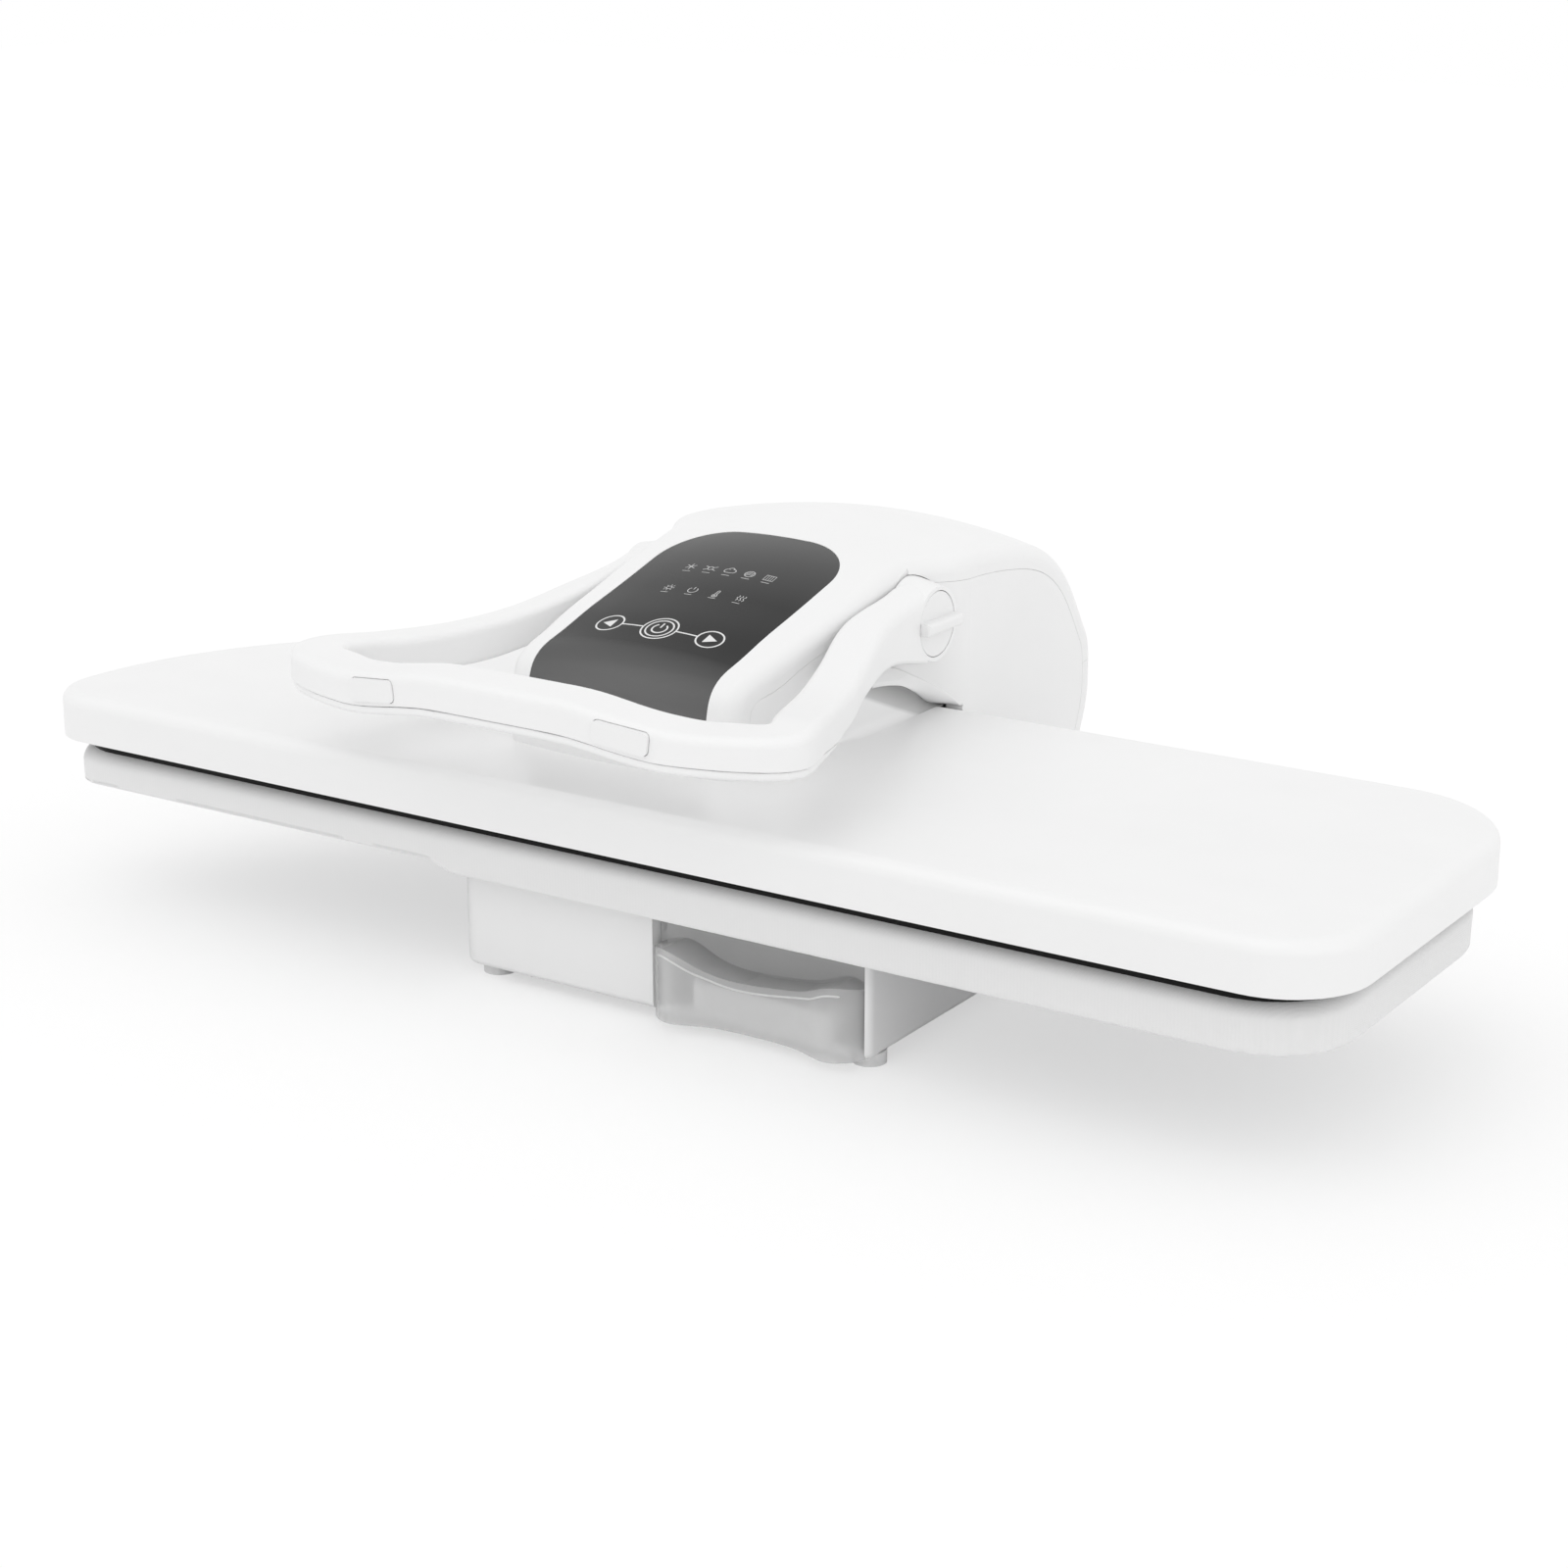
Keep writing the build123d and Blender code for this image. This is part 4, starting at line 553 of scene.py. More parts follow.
def cloth_profile():
    """Rows from the middle of the top, over the edge, down the side and under the hem. Each is
    (share of the way out from the spine or None, inset from the outline, "top" or "low", distance
    below the board's top or above its underside, how much it puckers)."""
    rows = []
    for i in range(22):
        s = i / 21
        rows.append((1 - (1 - s) ** 1.35, ROLL_IN, "top", 0.05 * s, 0.0))
    full = math.radians(ROLL_ARC)
    for i in range(1, 11):
        a = math.radians(ROLL_ARC * i / 10)
        sink = ROLL_DOWN * (1 - math.cos(a)) / (1 - math.cos(full))
        out = ROLL_IN * math.sin(a) / math.sin(full)
        rows.append((None, ROLL_IN - out, "top", sink + 0.05, 0.3 + 0.7 * i / 10))
    side = BOARD_TOP - BOARD_Z - ROLL_DOWN - HEM_ROUND
    for i in range(1, 8):
        t = i / 8
        rows.append((None, SIDE_LEAN * t, "top", ROLL_DOWN + side * t, 1.0 - 0.4 * t))
    for i in range(1, 6):
        a = math.radians(90 * i / 5)
        inset = SIDE_LEAN + HEM_ROUND * (1 - math.cos(a))
        rows.append((None, inset, "low", HEM_ROUND * (1 - math.sin(a)), 0.6))
    for i in range(1, 6):
        rows.append((None, 0.4 + HEM_ROUND + HEM_IN * i / 5, "low", 0.02, 0.8))
    return rows


def cloth_cover():
    """The board's fitted cover, stretched over the foam, with slack puckers along its side."""
    line = board_line()
    rows = cloth_profile()
    walked = [0.0]
    for (before, _), (here, _) in zip(line, line[1:]):
        walked.append(walked[-1] + (here - before).length)
    verts = []
    for r, (share, inset, level, height, pucker) in enumerate(rows):
        for i, (p, n) in enumerate(line):
            q = p - n * inset
            if share is not None:
                q = spine_point(p).lerp(q, share)
            underside = BOARD_Z + floor_lift(q.x)
            z = BOARD_TOP - height if level == "top" else underside + height
            if level == "top" and share is None:
                z = max(z, underside + HEM_ROUND)
            push = 0.0
            if share is None:
                w = corner_weight(n)
                drift = noise.noise(Vector((walked[i] * 0.04, 3.0, 0.0)))
                wave = math.sin(walked[i] / 1.9 + 2.2 * drift)
                fold = noise.noise(Vector((walked[i] * 0.11, height * 0.06 + r * 0.02, 5.0)))
                slack = noise.noise(Vector((q.x * 0.018, q.y * 0.018, z * 0.05 + 9.0)))
                push = pucker * (w * (0.2 * wave + 0.4 * fold) + 0.28 * slack) - 0.4 * pucker
                if level == "low":
                    push *= 0.4
                if level == "low" and height < 1.0:
                    push = 0.0
                    z += 0.12 * w * (1 + wave) + 0.12 * (1 + fold)
            else:
                dip = noise.noise(Vector((q.x * 0.012, q.y * 0.016, 2.0)))
                crease = noise.noise(Vector((q.x * 0.05, q.y * 0.02, 7.0)))
                z += -0.12 + 0.12 * dip + 0.05 * crease
            verts.append(Vector((q.x + n.x * push, q.y + n.y * push, z)) * MM)
    cotton = woven("cotton_cloth", (0.80, 0.80, 0.80), 0.9, 0.06)
    piece = new_piece("board_cloth", verts, bands(len(rows), len(line)), cotton, "base")
    turned_out(piece, CLOTH_MERGE)
    thickened(piece, CLOTH_THICK, -1).use_even_offset = False
    return piece


cloth = cloth_cover()
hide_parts("pad_cover")


# The foam lies inside its cover and on the tray, with a large round above and a small one below
FOAM_IN, FOAM_UNDER_TOP, FOAM_OVER_TRAY = 3.4, 1.1, 2.9
FOAM_ROUND_IN, FOAM_ROUND_DOWN = 9.0, 8.0
FOAM_LOW_ROUND = 2.0
FOAM_MERGE = 0.00005


def foam_body():
    """The foam pad, flat on top, with softly rounded edges, inside its cover."""
    line = board_line()[::3]
    shares = [1 - (1 - i / 9) ** 1.3 for i in range(10)]
    rows = [(share, 0.0, "top", FOAM_UNDER_TOP) for share in shares]
    for i in range(1, 7):
        a = math.radians(90 - 90 * i / 6)
        inset = FOAM_ROUND_IN * (1 - math.cos(a))
        rows.append((None, inset, "top", FOAM_UNDER_TOP + FOAM_ROUND_DOWN * (1 - math.sin(a))))
    rows += [(None, 0.0, "side", i / 4) for i in range(1, 4)]
    for i in range(4):
        a = math.radians(90 * i / 3)
        inset = FOAM_LOW_ROUND * (1 - math.cos(a))
        rows.append((None, inset, "low", FOAM_LOW_ROUND * (1 - math.sin(a))))
    rows += [(share, 0.0, "low", 0.0) for share in reversed(shares[:-1])]
    verts = []
    for share, more, level, value in rows:
        for p, n in line:
            if share is not None:
                q = spine_point(p).lerp(p - n * (FOAM_IN + FOAM_ROUND_IN), share)
            else:
                q = p - n * (FOAM_IN + more)
            floor = BOARD_Z + floor_lift(q.x) + FOAM_OVER_TRAY
            if level == "top":
                z = BOARD_TOP - value
            elif level == "side":
                upper = BOARD_TOP - FOAM_UNDER_TOP - FOAM_ROUND_DOWN
                z = upper * (1 - value) + (floor + FOAM_LOW_ROUND) * value
            else:
                z = floor + value
            bulge = 0.2 * noise.noise(Vector((q.x * 0.02, q.y * 0.02, z * 0.05)))
            verts.append(Vector((q.x + n.x * bulge, q.y + n.y * bulge, z)) * MM)
    open_cell = Recipe("open_cell_foam")
    pores = open_cell.cells(900.0)
    open_cell.colour(open_cell.mixed(pores, (0.5, 0.5, 0.47), (0.82, 0.82, 0.78)))
    open_cell.roughness(pores, 0.85, 0.95)
    open_cell.bump(pores, 0.35)
    piece = new_piece("board_foam", verts, bands(len(rows), len(line)), open_cell, "base")
    turned_out(piece, FOAM_MERGE)
    return piece


foam = foam_body()
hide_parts("foam_pad")


STITCH_ROWS = (9.6, 11.2)
STITCH_STEP, STITCH_HALF, STITCH_WIDTH, STITCH_SIDES = 2.8, 1.0, 0.28, 6


def hem_stitches():
    """Two rows of thread along the hem under the board: short capsules end to end."""
    line = board_line()
    points = []
    for inset in STITCH_ROWS:
        ring = [p - n * inset for p, n in line]
        ring.append(ring[0])
        left = 0.0
        for a, b in zip(ring, ring[1:]):
            length = (b - a).length
            while left < length:
                points.append((a.lerp(b, left / length), (b - a).normalized()))
                left += STITCH_STEP
            left -= length
    verts, faces = [], []
    for c, d in points:
        side = Vector((-d.y, d.x))
        z = BOARD_Z + floor_lift(c.x) - 0.02
        first = len(verts)
        for t, w in ((-1.0, 0.2), (-0.5, 1.0), (0.5, 1.0), (1.0, 0.2)):
            mid = c + d * (t * STITCH_HALF)
            for k in range(STITCH_SIDES):
                a = k / STITCH_SIDES * 2 * math.pi
                q = mid + side * (math.cos(a) * STITCH_WIDTH * w)
                up = math.sin(a) * STITCH_WIDTH * w * 0.8 + 0.1
                verts.append(Vector((q.x, q.y, z + up)) * MM)
        last = first + 3 * STITCH_SIDES
        for a in range(first, last, STITCH_SIDES):
            for k in range(STITCH_SIDES):
                m = (k + 1) % STITCH_SIDES
                faces.append((a + k, a + m, a + STITCH_SIDES + m, a + STITCH_SIDES + k))
        faces.append(tuple(first + k for k in reversed(range(STITCH_SIDES))))
        faces.append(tuple(last + k for k in range(STITCH_SIDES)))
    thread = woven("thread", (0.7, 0.7, 0.7), 0.4, 0.05)
    piece = new_piece("hem_stitches", verts, faces, thread, "base")


hem_stitches()


# Water tank. Its pull ledge is given as (share of the tank's width, share of its height).
TANK_LEDGE = [
    (0.000, 0.700), (0.030, 0.740), (0.116, 0.780), (0.240, 0.620), (0.386, 0.520),
    (0.580, 0.545), (0.780, 0.660), (0.884, 0.775), (0.970, 0.760), (1.000, 0.730),
]
TANK_HEIGHT = 47.0
tub_tree = tree_of("tank_tub")
tub_low, tub_high = [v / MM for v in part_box("tank_tub")]


def smooth_at(places, where):
    """Height at a place along a smooth line through listed (place, height) pairs."""
    last = len(places) - 1
    where = max(places[0][0], min(places[last][0], where))
    k = max(i for i in range(last) if places[i][0] <= where)
    nearby = [places[max(0, min(last, k + n))] for n in (-1, 0, 1, 2)]
    (a0, a), (b0, b), (c0, c), (d0, d) = nearby
    run_length = c0 - b0
    t = (where - b0) / run_length
    leave = (c - a) / (c0 - a0) * run_length
    arrive = (d - b) / (d0 - b0) * run_length
    from_b = (2 * t ** 3 - 3 * t ** 2 + 1) * b + (t ** 3 - 2 * t ** 2 + t) * leave
    return from_b + (3 * t ** 2 - 2 * t ** 3) * c + (t ** 3 - t ** 2) * arrive


def tank_front(x, z):
    """How far back the tank's outer face lies at a place across and up."""
    hit = tub_tree.ray_cast(Vector((x, tub_low.y - 50.0, z)) * MM, Vector((0, 1, 0)))[0]
    return None if hit is None else hit.y / MM


def tube(name, path, radius, recipe, body, sides=10):
    """A round bead along points, with closed ends."""
    verts, faces = [], []
    count = len(path)
    for i, p in enumerate(path):
        d = (path[min(i + 1, count - 1)] - path[max(i - 1, 0)]).normalized()
        a = d.cross(Vector((0.0, 1.0, 0.3))).normalized()
        b = d.cross(a)
        r = radius * (0.5 if i in (0, count - 1) else 1.0)
        for k in range(sides):
            turn = 2 * math.pi * k / sides
            verts.append((p + a * (math.cos(turn) * r) + b * (math.sin(turn) * r)) * MM)
    for i in range(count - 1):
        for k in range(sides):
            m = (k + 1) % sides
            faces.append((i * sides + k, i * sides + m, (i + 1) * sides + m, (i + 1) * sides + k))
    faces.append(tuple(range(sides - 1, -1, -1)))
    faces.append(tuple((count - 1) * sides + k for k in range(sides)))
    piece = new_piece(name, verts, faces, recipe, body)
    turned_out(piece)
    return piece


bead_clear = clear("bead_acrylic", (1.0, 1.0, 1.0), rough=0.02, see_through=0.8)
BEAD_STEPS, BEAD_FIRST, BEAD_LAST = 120, 8, 112
BEAD_BELOW, BEAD_RADIUS = 0.5, 0.6


def ledge_bead():
    """A clear bead along the pull ledge in the tank's front."""
    path = []
    for i in range(BEAD_FIRST, BEAD_LAST + 1):
        share = i / BEAD_STEPS
        x = tub_low.x + (tub_high.x - tub_low.x) * share
        z = tub_low.z + smooth_at(TANK_LEDGE, share) * TANK_HEIGHT - BEAD_BELOW
        y = tank_front(x, z)
        if y is not None:
            path.append(Vector((x, y, z)))
    piece = tube("tank_ledge_bead", path, BEAD_RADIUS, bead_clear, "tank")


ledge_bead()

BAFFLE_WALL, BAFFLE_CORNER = 1.2, 6.0
BAFFLE_IN, BAFFLE_LOW, BAFFLE_HIGH = 21.0, 2.6, 21.0
BAFFLE_AHEAD, BAFFLE_BEHIND = 12.0, 70.0


def tank_baffle():
    """A low clear wall inside the tank that keeps the water from slopping, open at the back."""
    left, right = tub_low.x + BAFFLE_IN, tub_high.x - BAFFLE_IN
    low, high = tub_low.z + BAFFLE_LOW, tub_low.z + BAFFLE_HIGH
    deep = max(tank_front(x, (low + high) / 2) for x in (left, right))
    ahead, behind = deep + BAFFLE_AHEAD, deep + BAFFLE_BEHIND
    corner = ahead + BAFFLE_CORNER
    outline = [(left, behind), (left, corner)]
    for x, start, first in ((left + BAFFLE_CORNER, 180, 1), (right - BAFFLE_CORNER, 270, 0)):
        for i in range(first, 6):
            a = math.radians(start + 90 * i / 6)
            outline.append((x + BAFFLE_CORNER * math.cos(a), corner + BAFFLE_CORNER * math.sin(a)))
    outline += [(right, corner), (right, behind)]
    middle = Vector(((left + right) / 2, behind + 40.0))
    inner = []
    for x, y in outline:
        d = (middle - Vector((x, y))).normalized()
        inner.append((x + d.x * BAFFLE_WALL, y + d.y * BAFFLE_WALL))
    verts, faces = [], []
    count = len(outline)
    for points, z in ((outline, low), (outline, high), (inner, high), (inner, low)):
        verts += [Vector((x, y, z)) * MM for x, y in points]
    for r in range(4):
        for i in range(count - 1):
            a, b = r * count, ((r + 1) % 4) * count
            faces.append((a + i, a + i + 1, b + i + 1, b + i))
    faces.append((0, count, 2 * count, 3 * count))
    faces.append((count - 1, 4 * count - 1, 3 * count - 1, 2 * count - 1))
    piece = new_piece("tank_baffle", verts, faces, bead_clear, "tank", smooth=False)
    turned_out(piece)


tank_baffle()


# Arch under the hood's flare. The arch's two lines are given as (depth y, height z).
ARM_X = -38.0
COVER_TOP = 124.5
ARCH_EDGE = [
    (-65.8, 112.8), (-55.9, 142.0), (-22.7, 159.5), (6.2, 158.5),
    (33.4, 148.5), (58.2, 132.0), (70.2, 118.6),
]
ARCH_INNER = [
    (-50.0, 148.0), (-6.3, 148.7), (23.0, 143.7),
    (38.3, 136.8), (54.0, 127.0), (66.0, 124.4),
]
ARCH_WALL_X = 45.5
BESIDE_X = 150.0
FAIRING_FRONT, FAIRING_BACK = -44.0, 62.9
FAIRING_WIDENS, FAIRING_ROUNDS = 36.0, 24.0
FAIRING_LEAST, FAIRING_ROUND = 0.4, 6.0
HOOD_SIDE_BACK, HOOD_SIDE_Z = -6.0, 135.0
ARCH_THICK = 0.0004
LIP_ROWS, LIP_COLUMNS = 36, 12
LIP_BULGE = 0.7
FAIRING_ROWS, FAIRING_WALL, FAIRING_BEND = 52, 9, 9
hood_trees = [tree_of(n) for n in ("head_side_right", "head_back_cover", "head_top_cover")]


def eased(t):
    t = clamped(t)
    return t * t * (3 - 2 * t)


def hood_hit(origin, direction):
    """The nearest point of the hood along a ray."""
    best = None
    for tree in hood_trees:
        hit, _, _, far = tree.ray_cast(Vector(origin) * MM, Vector(direction))
        if hit is not None and (best is None or far < best[0]):
            best = (far, hit / MM)
    return None if best is None else best[1]


def arch_outer(y):
    """The place on the flare's lower edge at a depth y."""
    z = smooth_at(ARCH_EDGE, y)
    side = hood_hit((BESIDE_X, y, z + 3.0), (-1, 0, 0))
    x = ARCH_WALL_X if side is None else side.x
    edge = hood_hit((x - 1.2, y, 100.0), (0, 0, 1))
    if edge is not None and abs(edge.z - z) < 5.0:
        z = edge.z
        side = hood_hit((BESIDE_X, y, z + 0.6), (-1, 0, 0))
        x = x if side is None else side.x
    return Vector((x + 0.05, y, max(z, COVER_TOP) + 0.2))


def arch_grids():
    """Two grids of points on the right side: the rolled lip, and the fairing behind it."""
    lip = []
    wall = ARCH_WALL_X + 0.3
    for i in range(LIP_ROWS + 1):
        t = i / LIP_ROWS
        outer = arch_outer(-4.0 + 73.0 * t)
        inner_y = -6.0 + 72.0 * t
        inner_z = smooth_at(ARCH_INNER, inner_y)
        row = []
        for k in range(LIP_COLUMNS + 1):
            a = math.radians(90 * k / LIP_COLUMNS)
            x = wall + (outer.x - wall) * math.cos(a) + LIP_BULGE * math.sin(2 * a)
            y = outer.y + (inner_y - outer.y) * (1 - math.cos(a))
            row.append(Vector((x, y, outer.z + (inner_z - outer.z) * math.sin(a))))
        lip.append(row)
    fairing = []
    for i in range(FAIRING_ROWS + 1):
        y = FAIRING_FRONT + (FAIRING_BACK - FAIRING_FRONT) * i / FAIRING_ROWS
        side = None
        if y < HOOD_SIDE_BACK:
            side = hood_hit((BESIDE_X, y, HOOD_SIDE_Z), (-1, 0, 0))
        near = ARCH_WALL_X if side is None else min(side.x - 0.3, ARCH_WALL_X)
        x = near + (ARCH_WALL_X - near) * eased((y - FAIRING_FRONT) / FAIRING_WIDENS)
        rounding = eased((y - FAIRING_FRONT) / FAIRING_ROUNDS)
        r = FAIRING_LEAST + (FAIRING_ROUND - FAIRING_LEAST) * rounding
        top = max(smooth_at(ARCH_INNER, y) + 0.3, COVER_TOP + r + 0.5)
        row = []
        for k in range(FAIRING_WALL):
            row.append(Vector((x, y, top + (COVER_TOP + r - top) * k / FAIRING_WALL)))
        for k in range(FAIRING_BEND + 1):
            a = math.radians(90 * k / FAIRING_BEND)
            z = COVER_TOP - 0.3 + (r + 0.3) * (1 - math.sin(a))
            row.append(Vector((x + r * (1 - math.cos(a)), y, z)))
        fairing.append(row)
    return lip, fairing


# The painted shade follows a line that falls with the depth: height plus this share of y, in metres
ARCH_SLOPE = 0.417
SHADE_STARTS, SHADE_DEEPENS = (0.1382, 0.1408), (0.1400, 0.1515)


def arch_shade():
    """White plastic with painted shade that greys into the hollow under the flare."""
    r = Recipe("arch_shade")
    _, y, z = r.place()
    across_slope = r.math("ADD", z, r.math("MULTIPLY", y, ARCH_SLOPE))
    start = r.span(across_slope, *SHADE_STARTS)
    deep = r.span(across_slope, *SHADE_DEEPENS)
    # Painted shade: mid grey where the shade starts, darker grey deeper in the hollow
    inner = r.mixed(deep, shade(WHITE, 0.66), shade(WHITE, 0.30))
    r.colour(r.mixed(start, WHITE, inner))
    r.roughness(r.noise(GLOSS_SCALE, 4.0), 0.4, 0.5)
    r.bump(r.noise(GRAIN_SCALE, 2.0, 0.6), 0.02)
    return r


# The fairing carries the painted shade; the lip is plain white plastic
arch_painted_shade, arch_plain_white = arch_shade(), plastic("arch_white", WHITE)
for grid, name, look in zip(arch_grids(), ("arch_lip", "arch_fairing"), (arch_plain_white, arch_painted_shade)):
    wide = len(grid[0])
    for side, sign in (("right", 1), ("left", -1)):
        verts = []
        for v in (v for row in grid for v in row):
            verts.append(Vector((ARM_X + sign * (v.x - ARM_X), v.y, v.z)) * MM)
        faces = []
        for a in range(0, (len(grid) - 1) * wide, wide):
            for k in range(wide - 1):
                face = (a + k, a + wide + k, a + wide + k + 1, a + k + 1)
                faces.append(face if sign > 0 else face[::-1])
        thickened(new_piece(name + "_" + side, verts, faces, look, "head"), ARCH_THICK, 0.0)


# Panel marks
INK_LIFT, INK_DEPTH = 0.06, 0.05
glass_tree = tree_of("control_panel_glass")


def on_glass(x, y):
    """The place and the direction of the panel's face under a point."""
    hit, normal, _, _ = glass_tree.ray_cast(Vector((x * MM, y * MM, 0.4)), Vector((0, 0, -1)))
    return hit, normal


class Marks:
    """Flat printed shapes, drawn in millimetres round a place on the panel and then laid on it."""

    def __init__(self):
        self.verts, self.faces = [], []

    def at(self, x, y):
        """Moves the drawing's middle, and finds how much the panel leans there."""
        d = on_glass(x, y + 1.0)[0] - on_glass(x, y - 1.0)[0]
        self.x, self.y = x, y
        self.lean = d.y / d.length

    def point(self, u, v):
        x, y = self.x + u, self.y + v * self.lean
        hit, normal = on_glass(x, y)
        if hit is None:
            raise ValueError(f"mark off the panel at {x}, {y}")
        if normal.z < 0:
            normal = -normal
        self.verts.append((hit + normal * (INK_LIFT * MM), normal))
        return len(self.verts) - 1

    def shape(self, points):
        self.faces.append([self.point(u, v) for u, v in points])

    def line(self, points, width, closed=False):
        n = len(points)
        pts = [Vector(p) for p in points]
        left, right = [], []
        for i, p in enumerate(pts):
            a = pts[i - 1] if i or closed else p
            b = pts[(i + 1) % n] if i + 1 < n or closed else p
            d = (b - a).normalized()
            side = Vector((-d.y, d.x)) * width / 2
            left.append(self.point(*(p + side)))
            right.append(self.point(*(p - side)))
        for i in range(n if closed else n - 1):
            j = (i + 1) % n
            self.faces.append([right[i], right[j], left[j], left[i]])

    def ring(self, radius, width, u=0.0, v=0.0, start=0.0, end=360.0):
        full = end - start >= 360
        count = max(14, int(radius * 7))
        steps = count if full else count + 1
        pts = []
        for i in range(steps):
            a = math.radians(start + (end - start) * i / count)
            pts.append((u + radius * math.cos(a), v + radius * math.sin(a)))
        self.line(pts, width, closed=full)

    def dot(self, radius, u, v):
        turns = [2 * math.pi * i / 16 for i in range(16)]
        self.shape([(u + radius * math.cos(a), v + radius * math.sin(a)) for a in turns])

    def piece(self, name, recipe):
        """Gives the flat shapes a printed layer's depth and lays them on the panel as one piece."""
        verts = [p for p, _ in self.verts] + [p + n * (INK_DEPTH * MM) for p, n in self.verts]
        count = len(self.verts)
        b = bmesh.new()
        made_verts = [b.verts.new(v) for v in verts]
        for face in self.faces:
            b.faces.new([made_verts[i] for i in reversed(face)])
            b.faces.new([made_verts[count + i] for i in face])
        edges = {}
        for face in self.faces:
            for edge in zip(face, face[1:] + face[:1]):
                edges[edge] = True
        for i, j in edges:
            if (j, i) not in edges:
                rim = (made_verts[i], made_verts[j], made_verts[count + j], made_verts[count + i])
                b.faces.new(rim)
        b.normal_update()
        mesh = bpy.data.meshes.new(name)
        b.to_mesh(mesh)
        b.free()
        mesh.materials.append(recipe.material)
        obj = bpy.data.objects.new(name, mesh)
        scene.collection.objects.link(obj)
        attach(obj, "head")


def ink(name, colour):
    """Printed ink, a little uneven."""
    r = Recipe(name)
    r.colour(r.mixed(r.noise(900.0, 3.0), shade(colour, 0.92), colour))
    r.roughness(r.noise(400.0), 0.35, 0.5)
    r.bump(r.noise(2600.0, 2.0), 0.01)
    return r


KEY_Y, KEY_PITCH = -89.0, 33.0
LOW_ROW_Y, LOW_PITCH = -46.2, 15.9
HIGH_ROW_Y, HIGH_PITCH = -21.2, 13.2
KEY_LINE = 1.0
MARK_LINE = 0.55

# The keys: one on each side of a round one, joined by dashes
keys = Marks()
for sign in (-1, 1):
    keys.at(ARM_X + sign * KEY_PITCH, KEY_Y)
    keys.ring(7.9, KEY_LINE)
    keys.shape([(sign * 4.6, 0.0), (-sign * 2.7, sign * 4.0), (-sign * 2.7, -sign * 4.0)])
keys.at(ARM_X, KEY_Y)
keys.ring(10.6, 0.95)
keys.ring(8.0, 0.95)
keys.ring(4.4, KEY_LINE, start=125, end=415)
keys.line([(0, 0.8), (0, 5.4)], KEY_LINE)
for sign in (-1, 1):
    keys.line([(sign * u, 0) for u in (11.0, 16.0, 21.0, KEY_PITCH - 8.3)], KEY_LINE)
keys.piece("key_marks", ink("key_ink", (0.8, 0.8, 0.8)))

marks = Marks()
# Upper row: five kinds of cloth
for k in range(5):
    marks.at(ARM_X + (k - 2) * HIGH_PITCH, HIGH_ROW_Y)
    if k == 0:
        for a in range(0, 180, 60):
            c, s = math.cos(math.radians(a + 30)), math.sin(math.radians(a + 30))
            marks.line([(-3.4 * c, -3.4 * s), (3.4 * c, 3.4 * s)], MARK_LINE)
    elif k == 1:
        marks.ring(1.7, MARK_LINE)
        marks.line([(-4.0, 2.1), (-1.4, 1.0)], MARK_LINE)
        marks.line([(4.0, -2.1), (1.4, -1.0)], MARK_LINE)
        marks.line([(-4.0, -2.1), (-1.4, -1.0)], MARK_LINE)
        marks.line([(4.0, 2.1), (1.4, 1.0)], MARK_LINE)
    elif k == 2:
        marks.ring(1.9, MARK_LINE, -1.7, -0.2, 60, 270)
        marks.ring(2.1, MARK_LINE, 0.1, 1.0, 20, 160)
        marks.ring(1.9, MARK_LINE, 1.9, -0.2, -90, 110)
        marks.line([(-1.7, -2.1), (1.9, -2.1)], MARK_LINE)
    elif k == 3:
        marks.ring(3.0, MARK_LINE)
        for v in (-1.2, 0.0, 1.2):
            marks.line([(-2.5, v - 0.7), (0, v + 0.5), (2.5, v - 0.3)], MARK_LINE * 0.8)
    else:
        marks.line([(-3.1, -2.6), (3.1, -2.6), (3.1, 2.6), (-3.1, 2.6)], MARK_LINE, closed=True)
        for u in (-1.5, 0.0, 1.5):
            marks.line([(u, -2.4), (u, 2.4)], MARK_LINE * 0.6)
    marks.line([(-2.6, -5.2), (2.6, -5.2)], 0.5)
# Lower row: heat, standby, temperature and steam
for k in range(4):
    marks.at(ARM_X + (k - 1.5) * LOW_PITCH, LOW_ROW_Y)
    if k == 0:
        marks.ring(1.7, MARK_LINE)
        for a in range(0, 360, 45):
            c, s = math.cos(math.radians(a)), math.sin(math.radians(a))
            marks.line([(2.5 * c, 2.5 * s), (3.5 * c, 3.5 * s)], MARK_LINE)
    elif k == 1:
        marks.ring(2.9, MARK_LINE, start=130, end=410)
        marks.line([(0, 0.8), (0, 3.6)], MARK_LINE)
    elif k == 2:
        marks.ring(1.5, MARK_LINE, 0, -2.4, 115, 425)
        marks.line([(-0.65, -1.1), (-0.65, 3.0), (0, 3.6), (0.65, 3.0), (0.65, -1.1)], MARK_LINE)
        marks.dot(0.7, 0, -2.4)
    else:
        for u in (-2.0, 0.0, 2.0):
            wave = ((0, -2.6), (0.7, -1.3), (-0.5, 0.4), (0.4, 1.8), (0, 3.0))
            marks.line([(u + side, v) for side, v in wave], MARK_LINE)
    marks.line([(-2.4, -5.2), (2.4, -5.2)], 0.5)
marks.piece("setting_marks", ink("setting_ink", (0.55, 0.55, 0.55)))


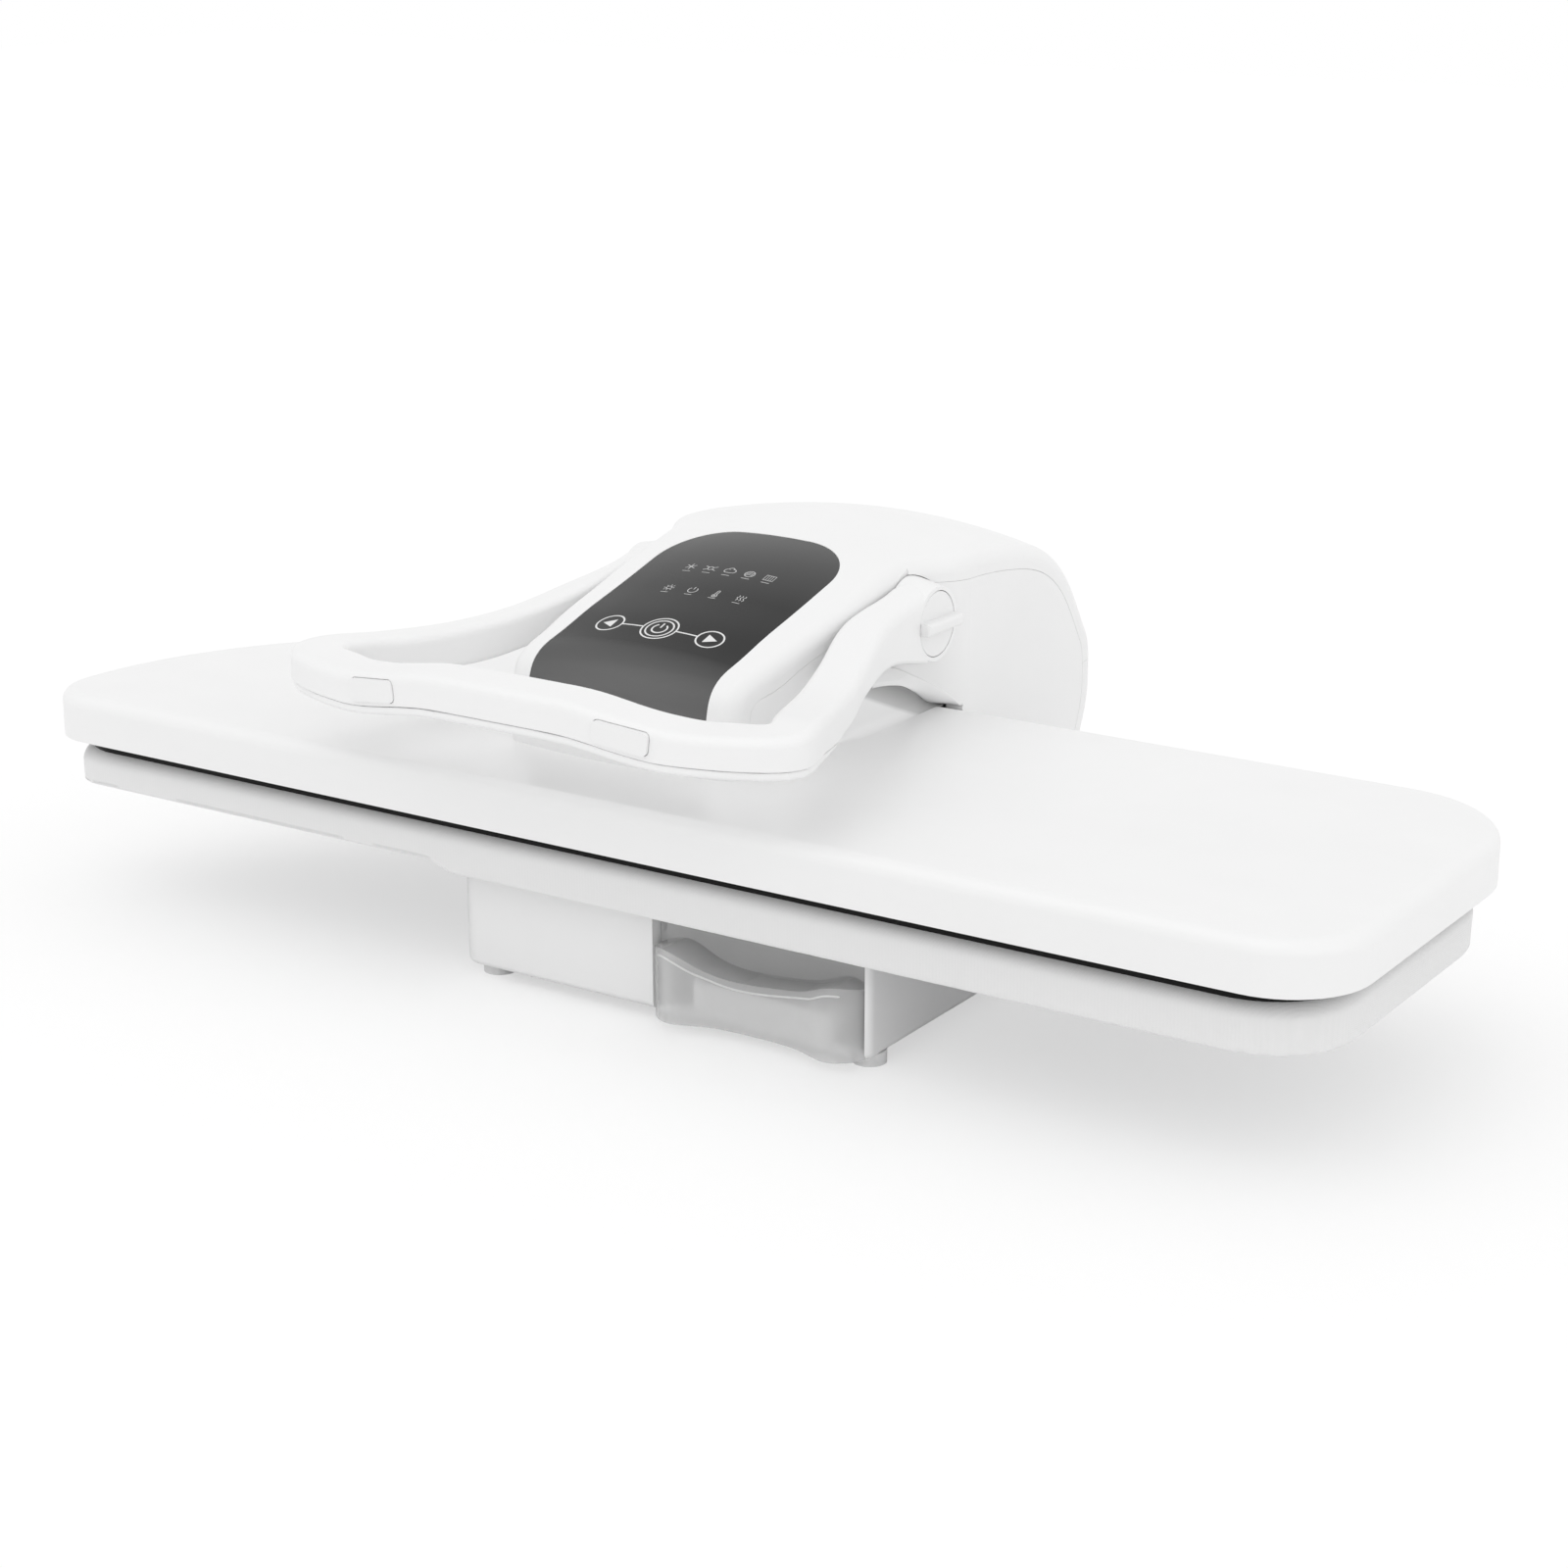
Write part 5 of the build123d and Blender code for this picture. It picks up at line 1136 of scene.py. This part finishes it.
# Floor, world and lamps
FLOOR_HALF = 6.0
FLOOR_GLOW = 0.55
WORLD_LIGHT = 0.88
floor_mesh = bpy.data.meshes.new("floor")
corners = [(x * FLOOR_HALF, y * FLOOR_HALF, 0) for x, y in ((-1, -1), (1, -1), (1, 1), (-1, 1))]
floor_mesh.from_pydata(corners, [], [(0, 1, 2, 3)])
floor = bpy.data.objects.new("floor", floor_mesh)
scene.collection.objects.link(floor)
paper = Recipe("floor_paper")
ray = paper.add("ShaderNodeLightPath")
paper.colour(paper.mixed(ray.outputs["Is Camera Ray"], (0.95, 0.95, 0.95), (1.0, 1.0, 1.0)))
paper.set(Roughness=1.0, Specular_IOR_Level=0.0)
glow = paper.add("ShaderNodeEmission")
blend = paper.add("ShaderNodeMixShader")
paper.join(paper.math("MULTIPLY", ray.outputs["Is Camera Ray"], FLOOR_GLOW), blend.inputs[0])
paper.join(paper.shader.outputs[0], blend.inputs[1])
paper.join(glow.outputs[0], blend.inputs[2])
paper.join(blend.outputs[0], paper.out.inputs["Surface"])
floor_mesh.materials.append(paper.material)

world = bpy.data.worlds.new("world")
scene.world = world
world.use_nodes = True
tree = world.node_tree
tree.nodes.clear()
path = tree.nodes.new("ShaderNodeLightPath")
# Full white where the world is seen, mirrored or seen through; a little less as light
looked_at = path.outputs["Is Camera Ray"]
for kind in ("Is Glossy Ray", "Is Transmission Ray"):
    most = tree.nodes.new("ShaderNodeMath")
    most.operation = "MAXIMUM"
    tree.links.new(looked_at, most.inputs[0])
    tree.links.new(path.outputs[kind], most.inputs[1])
    looked_at = most.outputs[0]
mixer = tree.nodes.new("ShaderNodeMixShader")
tree.links.new(looked_at, mixer.inputs[0])
for slot, strength in ((1, WORLD_LIGHT), (2, 1.0)):
    background = tree.nodes.new("ShaderNodeBackground")
    background.inputs[0].default_value = (1, 1, 1, 1)
    background.inputs[1].default_value = strength
    tree.links.new(background.outputs[0], mixer.inputs[slot])
out = tree.nodes.new("ShaderNodeOutputWorld")
tree.links.new(mixer.outputs[0], out.inputs[0])


def sun(name, strength, spread, azimuth, elevation):
    """A lamp from far away, its spread and its direction in degrees."""
    data = bpy.data.lights.new(name, "SUN")
    data.energy = strength
    data.angle = math.radians(spread)
    lamp = bpy.data.objects.new(name, data)
    scene.collection.objects.link(lamp)
    lamp.rotation_euler = (math.radians(90 - elevation), 0, math.radians(azimuth))


sun("key", 0.42, 60, -25, 62)
sun("fill", 0.4, 80, 75, 12)
